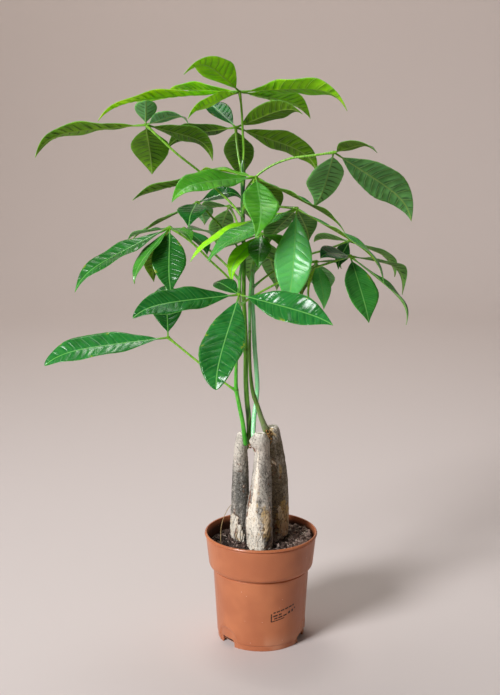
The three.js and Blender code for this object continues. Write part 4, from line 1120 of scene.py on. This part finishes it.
def leafMaterial(name, glow):
    # A waxy money-tree leaf: glossy, quilted upper face with pale ribs, matt paler underside, and
    # tissue that lets some light through.
    material, shader, add, _, (cloud, fine, spots) = newMaterial(name, blade["grains"])
    fresh, under, tone, pale, veins, out, margin, along = [
        add("Attribute", output="Fac", attribute_name=key)
        for key in ("fresh", "isUnder", "tone", "pale", "veins", "outMm", "margin", "along")]
    mottled = share(add, (add("Math", (tone, 0.3, share(add, cloud, 0.7)), **scaledPlus), 0.3, 0.72))
    upper, freshUpper, lower, midLower, backlitFreshLower = [
        painted(add, blade[key], [(blade[key + "Light"], mottled)])
        for key in ("upper", "freshUpper", "under", "midUnder", "freshUnder")]
    # `veins` is whole on each side vein, so its fraction is 0.5 halfway between two.
    fraction = add("Math", (veins,), operation="FRACT")
    off, beside = [add("Math", (add("Math", (fraction, at), **minus),), operation="ABSOLUTE")
                   for at in (0.5, blade["veinShadowAt"])]
    clear, rib = share(add, (out, 0.5, 2.2)), share(add, (out, 0.75, 0.3))
    vein = share(add, (off, 0.40, 0.49), clear)
    top = painted(add, upper, [
        (freshUpper, fresh),
        # Painted light: the freshest leaflets turn a bright lime that stands for light shining through
        # them.
        (blade["backlitLime"], (fresh, 0.92, 1.0, 0, 0.95)),
        # Painted sheen: a pale tint over the upper face, as strong as the leaflet's pale value.
        (blade["pale"], pale, 0.85),
        # A painted highlight on the bulges halfway between side veins.
        (blade["ribColour"], (off, 0.30, 0.05), clear, 0.06),
        (blade["ribColour"], vein, 0.15),
        (blade["ribColour"], rib, 0.7),
        (blade["spot"], (spots, 0.62, 0.7), (margin, 0.75, 1.0, 0.0, 0.75), (fresh, 0.5, 0.2)),
    ])
    # The underside goes from cool grey-green over dark olive to yellow-green as the leaf is younger;
    # the young yellow-green is partly painted light shining through the leaf.
    # A painted shadow, a dark line, runs beside each raised vein, deepest near the midrib.
    veinShadowShare = share(add, clear, (fresh, 0.35, 0.8, 1.0, 0.4), (margin, 0.3, 0.95, 1.3, 0.3))
    bottom = painted(add, lower, [
        (midLower, (fresh, 0.1, 0.28)),
        # Painted light: young undersides are bright yellow-green, partly standing for light shining
        # through.
        (backlitFreshLower, (fresh, 0.42, 0.85)),
        (blade["underShade"], (beside, 0.16, 0.03, 0, 0.55), veinShadowShare),
        (blade["underRib"], vein, 0.3),
        (blade["underRib"], rib, 0.8),
    ])
    colour = painted(add, top, [
        (bottom, under),
        # A painted highlight along the margin.
        (blade["ribColour"], (margin, 0.93, 1.0, 0, 0.35)),
        (blade["stalk"], (along, 0.1, 0.05)),
    ])
    worn = share(add, (fine, 0.35, 0.7, blade["roughness"] - 0.04, blade["roughness"] + 0.08))
    worn = add("Math", (fresh, blade["freshRough"], worn), **scaledPlus)
    # Side veins are sunk on the upper face and stand out on the underside.
    raised = share(add, vein, (under, 0.0, 1.0, -0.5, 2.0))
    uneven = add("Math", (fine, 0.3, raised), **scaledPlus)
    feed(shader, {
        "Base Color": colour, "Roughness": add("Mix", {0: under, 2: worn, 3: blade["underRough"]}),
        "IOR": 1.45, "Specular IOR Level": blade["gloss"],
        "Subsurface Weight": glow, "Subsurface Radius": (0.7, 1.0, 0.15), "Subsurface Scale": 0.0018,
        "Normal": add("Bump", {"Height": uneven, "Distance": 0.4 * millimetre, "Strength": 0.7}),
    })
    return material


studio = {
    # In metres, but the sensor in mm. Lights are (name, place, size, power, spread in degrees,
    # colour, target).
    "focalPixels": 1010, "longSide": 695, "sensor": 36, "eye": (-0.0117, -1.025, 0.498), "pitch": 10.2,
    "floor": "#d6cdc8", "world": "#eef1f6", "worldStrength": 0.07,
    "flatRadius": 2.4, "bendRadius": 1.2, "wallTop": 5.0, "sectors": 96,
    "lights": [
        ("windowLight", (-1.9, -1.82, 1.75), 1.05, 24, 84, "#fbfbff", (0, 0, 0.36)),
        ("topLight", (-0.2, 0.45, 1.75), 0.9, 7, 180, "#ffffff", (0, 0, 0.36)),
        ("backdropLight", (-0.5, 1.5, 2.9), 1.2, 40, 180, "#fff6f0", (0.0, 3.6, 1.1)),
    ],
}


def buildStage():
    # A round sweep: flat under the plant, a quarter circle up all round it, then an upright wall.
    # Its faces point up and inwards, at the plant.
    bend = np.linspace(0, math.pi / 2, 17)
    flat, curve = studio["flatRadius"], studio["bendRadius"]
    radius = np.concatenate([[0.4, 1.2], flat + curve * np.sin(bend), [flat + curve]])[:, None]
    z = np.concatenate([[0.0, 0.0], curve - curve * np.cos(bend), [studio["wallTop"]]])[:, None]
    rings = around(radius, evenAngles(studio["sectors"]), z)
    rows, columns = rings.shape[:2]
    at = np.arange(rows * columns).reshape(rows, columns)
    nextAt = np.roll(at, -1, axis=1)
    quads = np.stack([at[:-1], at[1:], nextAt[1:], nextAt[:-1]], -1).reshape(-1, 4)
    middle = np.stack([np.full(columns, rows * columns), at[0], nextAt[0]], -1)
    points = np.concatenate([rings.reshape(-1, 3), [[0, 0, 0]]]) / millimetre
    floor = putMesh("paleSweep", points, quads, middle)
    material, shader, *_ = newMaterial("mattPaperSweep")  # seamless backdrop paper: even and matt
    feed(shader, {"Base Color": linear(studio["floor"]), "Roughness": 0.85})
    floor.data.materials.append(material)


def buildLights():
    # Round soft lights that look at their targets, and a faint even room.
    scene = bpy.context.scene
    scene.world = bpy.data.worlds.new("softRoom")
    scene.world.use_nodes = True
    background = scene.world.node_tree.nodes["Background"]
    feed(background, {"Color": linear(studio["world"]), "Strength": studio["worldStrength"]})
    for name, where, size, power, fan, colour, target in studio["lights"]:
        data = bpy.data.lights.new(name, "AREA")
        data.shape, data.size, data.energy, data.spread = "DISK", size, power, math.radians(fan)
        data.color = linear(colour)[:3]
        lamp = bpy.data.objects.new(name, data)
        scene.collection.objects.link(lamp)
        lamp.location = where
        aim = np.array(target) - np.array(where)
        tilt, heading = math.acos(-aim[2] / np.linalg.norm(aim)), math.atan2(aim[1], aim[0])
        lamp.rotation_euler = (tilt, 0, heading - math.pi / 2)


def buildCamera():
    # The lens is focal length in pixels / pixels along the long side, times the sensor's width.
    data = bpy.data.cameras.new("photoView")
    data.sensor_width = studio["sensor"]
    data.lens = studio["focalPixels"] / studio["longSide"] * studio["sensor"]
    camera = bpy.data.objects.new("photoView", data)
    bpy.context.scene.collection.objects.link(camera)
    camera.location = studio["eye"]
    camera.rotation_euler = (math.radians(90 - studio["pitch"]), 0, 0)
    bpy.context.scene.camera = camera


frameSlots = {row["node"]: row["material_slot"] for row in frame["record"]["subparts"]}
barkMaterial = moneyTreeBark()
leafMaterials = {"leaf": leafMaterial("waxyLeaf", blade["glow"]["leaf"]),
                 "young_leaf": leafMaterial("waxyYoungLeaf", blade["glow"]["young_leaf"])}

buildPot()
print("pot done")
buildSoil()
buildCrumbs()
buildFibres()
buildStraw()
print("potting mix done")
for trunkName, trunkValues in trunks.items():
    buildTrunk(trunkName, trunkValues)
buildCallus()
print("trunks done")
for shootName, shootValues in shoots.items():
    buildShoot(shootName, shootValues)
print("shoots done")
for leafName, leafValues in leaves.items():
    buildLeaf(leafName, leafValues)
print("leaves done")
buildStage()
buildLights()
buildCamera()
bpy.context.scene.view_settings.view_transform = "Standard"
print("pieces and triangles:", totals)
